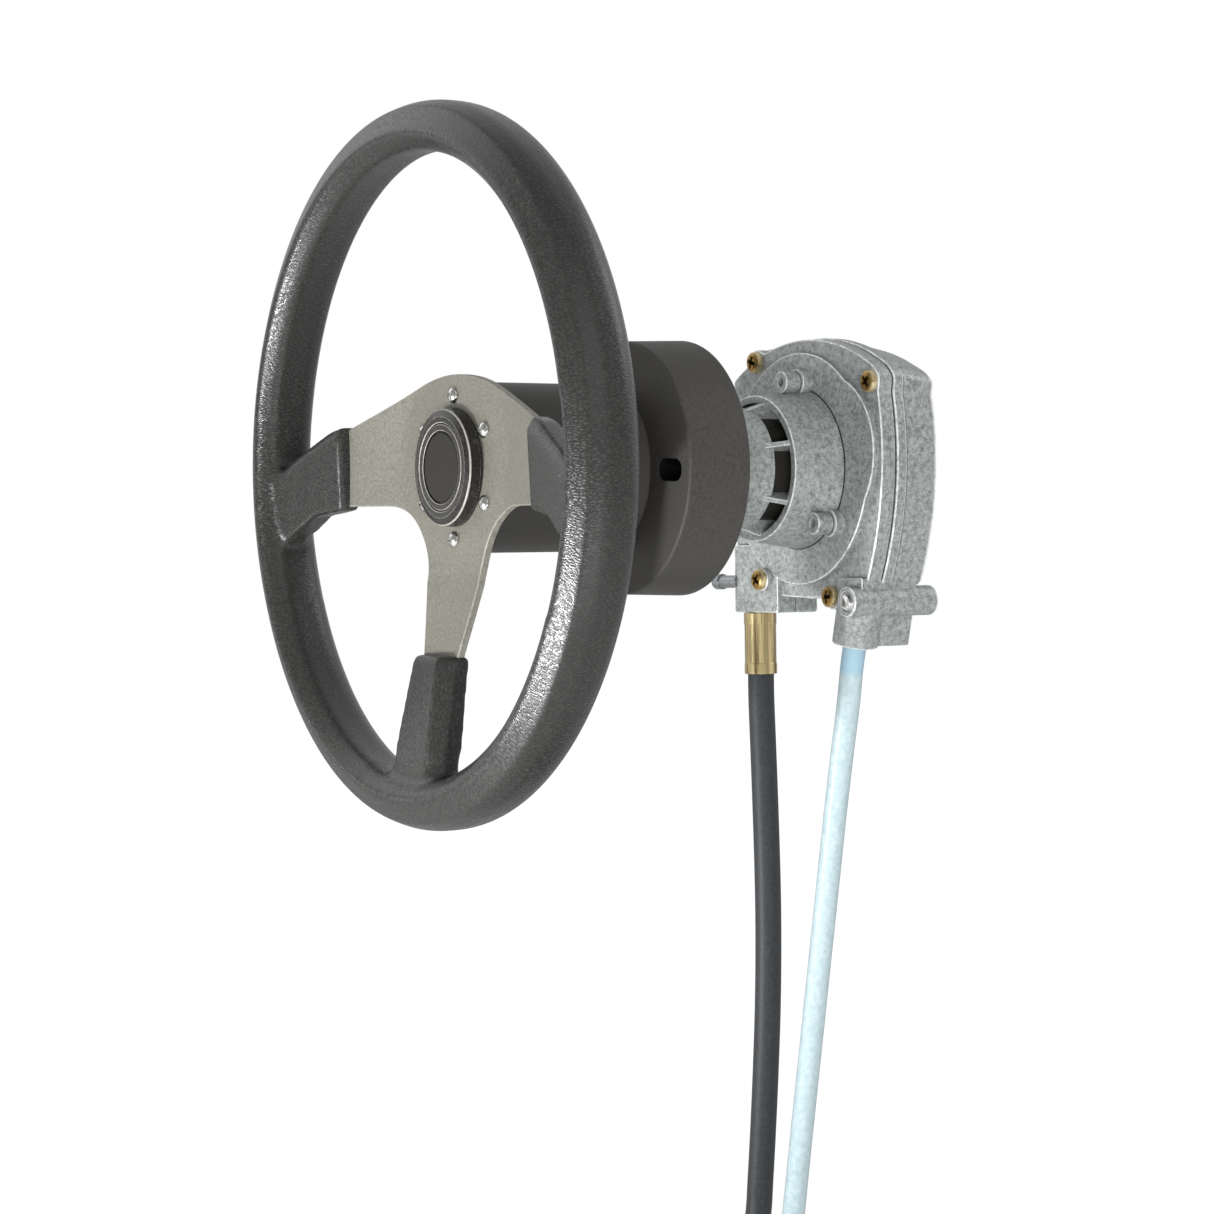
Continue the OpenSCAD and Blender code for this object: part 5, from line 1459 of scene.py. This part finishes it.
@dataclass
class CableEnds:
    """Brass ferrule, lock pin, tube clamp and its bolt."""

    cable_x: float = -47.0
    cable_y: float = 22.95
    ferrule_r: float = 8.7
    ferrule_waist_r: float = 8.45
    ferrule_low_z: float = -108.0
    pin_head_r: float = 4.2
    pin_r: float = 3.4
    pin_x: tuple[float, float, float] = (-79.5, -73.5, -58.0)
    pin_y: float = 17.3
    pin_z: float = -58.5
    barrel_x: float = 50.0
    barrel_z: float = -69.0
    barrel_r: float = 7.7
    barrel_y: float = 9.1
    barrel_len: float = 53.0
    seat_deep: float = 4.0
    bolt_r: float = 5.1
    tube_x: float = 47.0
    lean: float = 14.0
    lean_z: float = -55.0
    boss_r: tuple[float, float] = (6.05, 11.8)
    boss_z: tuple[float, float] = (-37.1, -14.4)
    block_x: tuple[float, float] = (-16.1, 5.9)
    block_deep: float = 30.0
    saddle_box: tuple[float, float, float, float] = (35.0, -72.0, 54.7, -57.0)
    saddle_y: tuple[float, float] = (15.6, 50.0)

    def ferrule(self) -> None:
        """Turned brass ferrule with a waist between its collars."""
        r, waist, low = self.ferrule_r, self.ferrule_waist_r, self.ferrule_low_z
        shell = lathe([
            (6.9, -75.5, 0.2), (r, -75.0, 0.6), (r, -81.0, 0.2), (waist, -81.4, -0.2), (waist, -102.0, -0.2),
            (r, -102.5, 0.3), (r, low, 0.9), (7.0, low, 0.3),
        ], sides=72).laid("xzy")
        make_piece("brass_ferrule", shell.moved((self.cable_x, self.cable_y, 0)), BRASS, Body.HOUSING,
                   ("cable_ferrule",))

    def lock_pin(self) -> None:
        """Steel lock pin with a rounded head, lying across the inlet block."""
        tip, neck, end = self.pin_x
        shell = lathe([
            (0.3, tip, 0.0), (self.pin_head_r, tip, 1.2), (self.pin_head_r, neck, 0.5), (self.pin_r, neck + 0.3, 0.2),
            (self.pin_r, end, 0.2), (0.3, end, 0.0),
        ], sides=40).laid("yxz")
        make_piece("lock_pin_rod", shell.moved((0, self.pin_y, self.pin_z)), STEEL, Body.HOUSING,
                   ("lock_pin",))

    def clamp(self) -> None:
        """Clamp under the housing: saddle plate, barrel with a recessed end, and a leaning block."""
        y0, y1, seat = self.barrel_y, self.barrel_y + self.barrel_len, self.barrel_y + self.seat_deep
        barrel = lathe([
            (5.4, seat, 0.2), (5.4, y0, 0.4), (self.barrel_r, y0, 0.9), (self.barrel_r, y1, 1.4), (0.5, y1, 0.0),
            (0.5, seat, 0.0),
        ], sides=64).moved((self.barrel_x, 0, self.barrel_z))
        (bore, out), (low, top), (left, right) = self.boss_r, self.boss_z, self.block_x
        ring = lathe([(bore, low, 0.3), (out, low, 1.0), (out, top, 0.6), (bore, top, 0.2)], closed=True)
        boss = ring.laid("xzy").moved((0, self.cable_y, 0))
        block_end = self.cable_y + self.block_deep
        block = slab(rectangle(left, low, right, top, 1.6), eased(self.cable_y, block_end, 0.6, 1.2))
        hanging = joined([boss, block]).moved((self.tube_x, 0, self.lean_z), turned_about("y", self.lean))
        saddle = slab(rectangle(*self.saddle_box, 1.6), eased(*self.saddle_y, 1.0, 0.8))
        make_piece("clamp_casting", joined([barrel, hanging, saddle]), CASTING, Body.HOUSING,
                   ("tube_clamp",))
        bolt = lathe([
            (0.4, y0 - 0.4, 0.0), (3.6, y0 - 0.9, 1.5), (self.bolt_r, y0 + 0.6, 0.8), (self.bolt_r, seat, 0.2),
            (0.4, seat, 0.0),
        ], sides=48).moved((self.barrel_x, 0, self.barrel_z))
        make_piece("clamp_bolt_head", bolt, BRIGHT, Body.HOUSING, ("clamp_bolt",))

    def build(self) -> None:
        """Makes what holds the cable and the tube."""
        self.ferrule()
        self.lock_pin()
        self.clamp()


NODE_FINISHES: dict[str, Finish] = {
    "rim_core": STEEL, "shaft_nut": STEEL, "nut_washer": STEEL, "steering_shaft": STEEL, "shaft_key": STEEL,
    "sun_gear": STEEL, "shaft_clip": STEEL, "cable_drum": CASTING, "planet_pins": STEEL, "carrier_plate": STEEL,
    "planet_gear_1": STEEL, "planet_gear_2": STEEL, "planet_gear_3": STEEL, "nose_bush": BRONZE,
    "boss_bush": BRONZE, "end_bush": BRONZE, "shaft_seal": SEAL, "ring_gear": NYLON, "thrust_washer": NYLON,
    "cable_core": STEEL, "tube_plug": NYLON, "coil_tie": STRAP, "end_sleeve": STEEL, "coupling_nut": STEEL,
    "end_cap": RED_CAP,
}


def dress_nodes(nodes: dict[str, bpy.types.Object]) -> None:
    """Gives the CAD nodes that stay their finishes.

    Args:
        nodes: The CAD nodes by name.
    """
    for name, finish in NODE_FINISHES.items():
        mesh = nodes[name].data
        mesh.materials.clear()
        mesh.materials.append(finish.material())
        LOG.info("%s: CAD node in %s", name, finish.name)


def main() -> None:
    """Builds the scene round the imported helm, sub-assembly by sub-assembly."""
    logging.basicConfig(level=logging.INFO, format="%(name)s: %(message)s")
    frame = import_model()
    Studio().build()
    Cables().build(frame["nodes"])
    SteeringWheel().build()
    Bezel().build()
    GearHousing().build()
    CableEnds().build()
    dress_nodes(frame["nodes"])


if __name__ == "__main__":
    main()
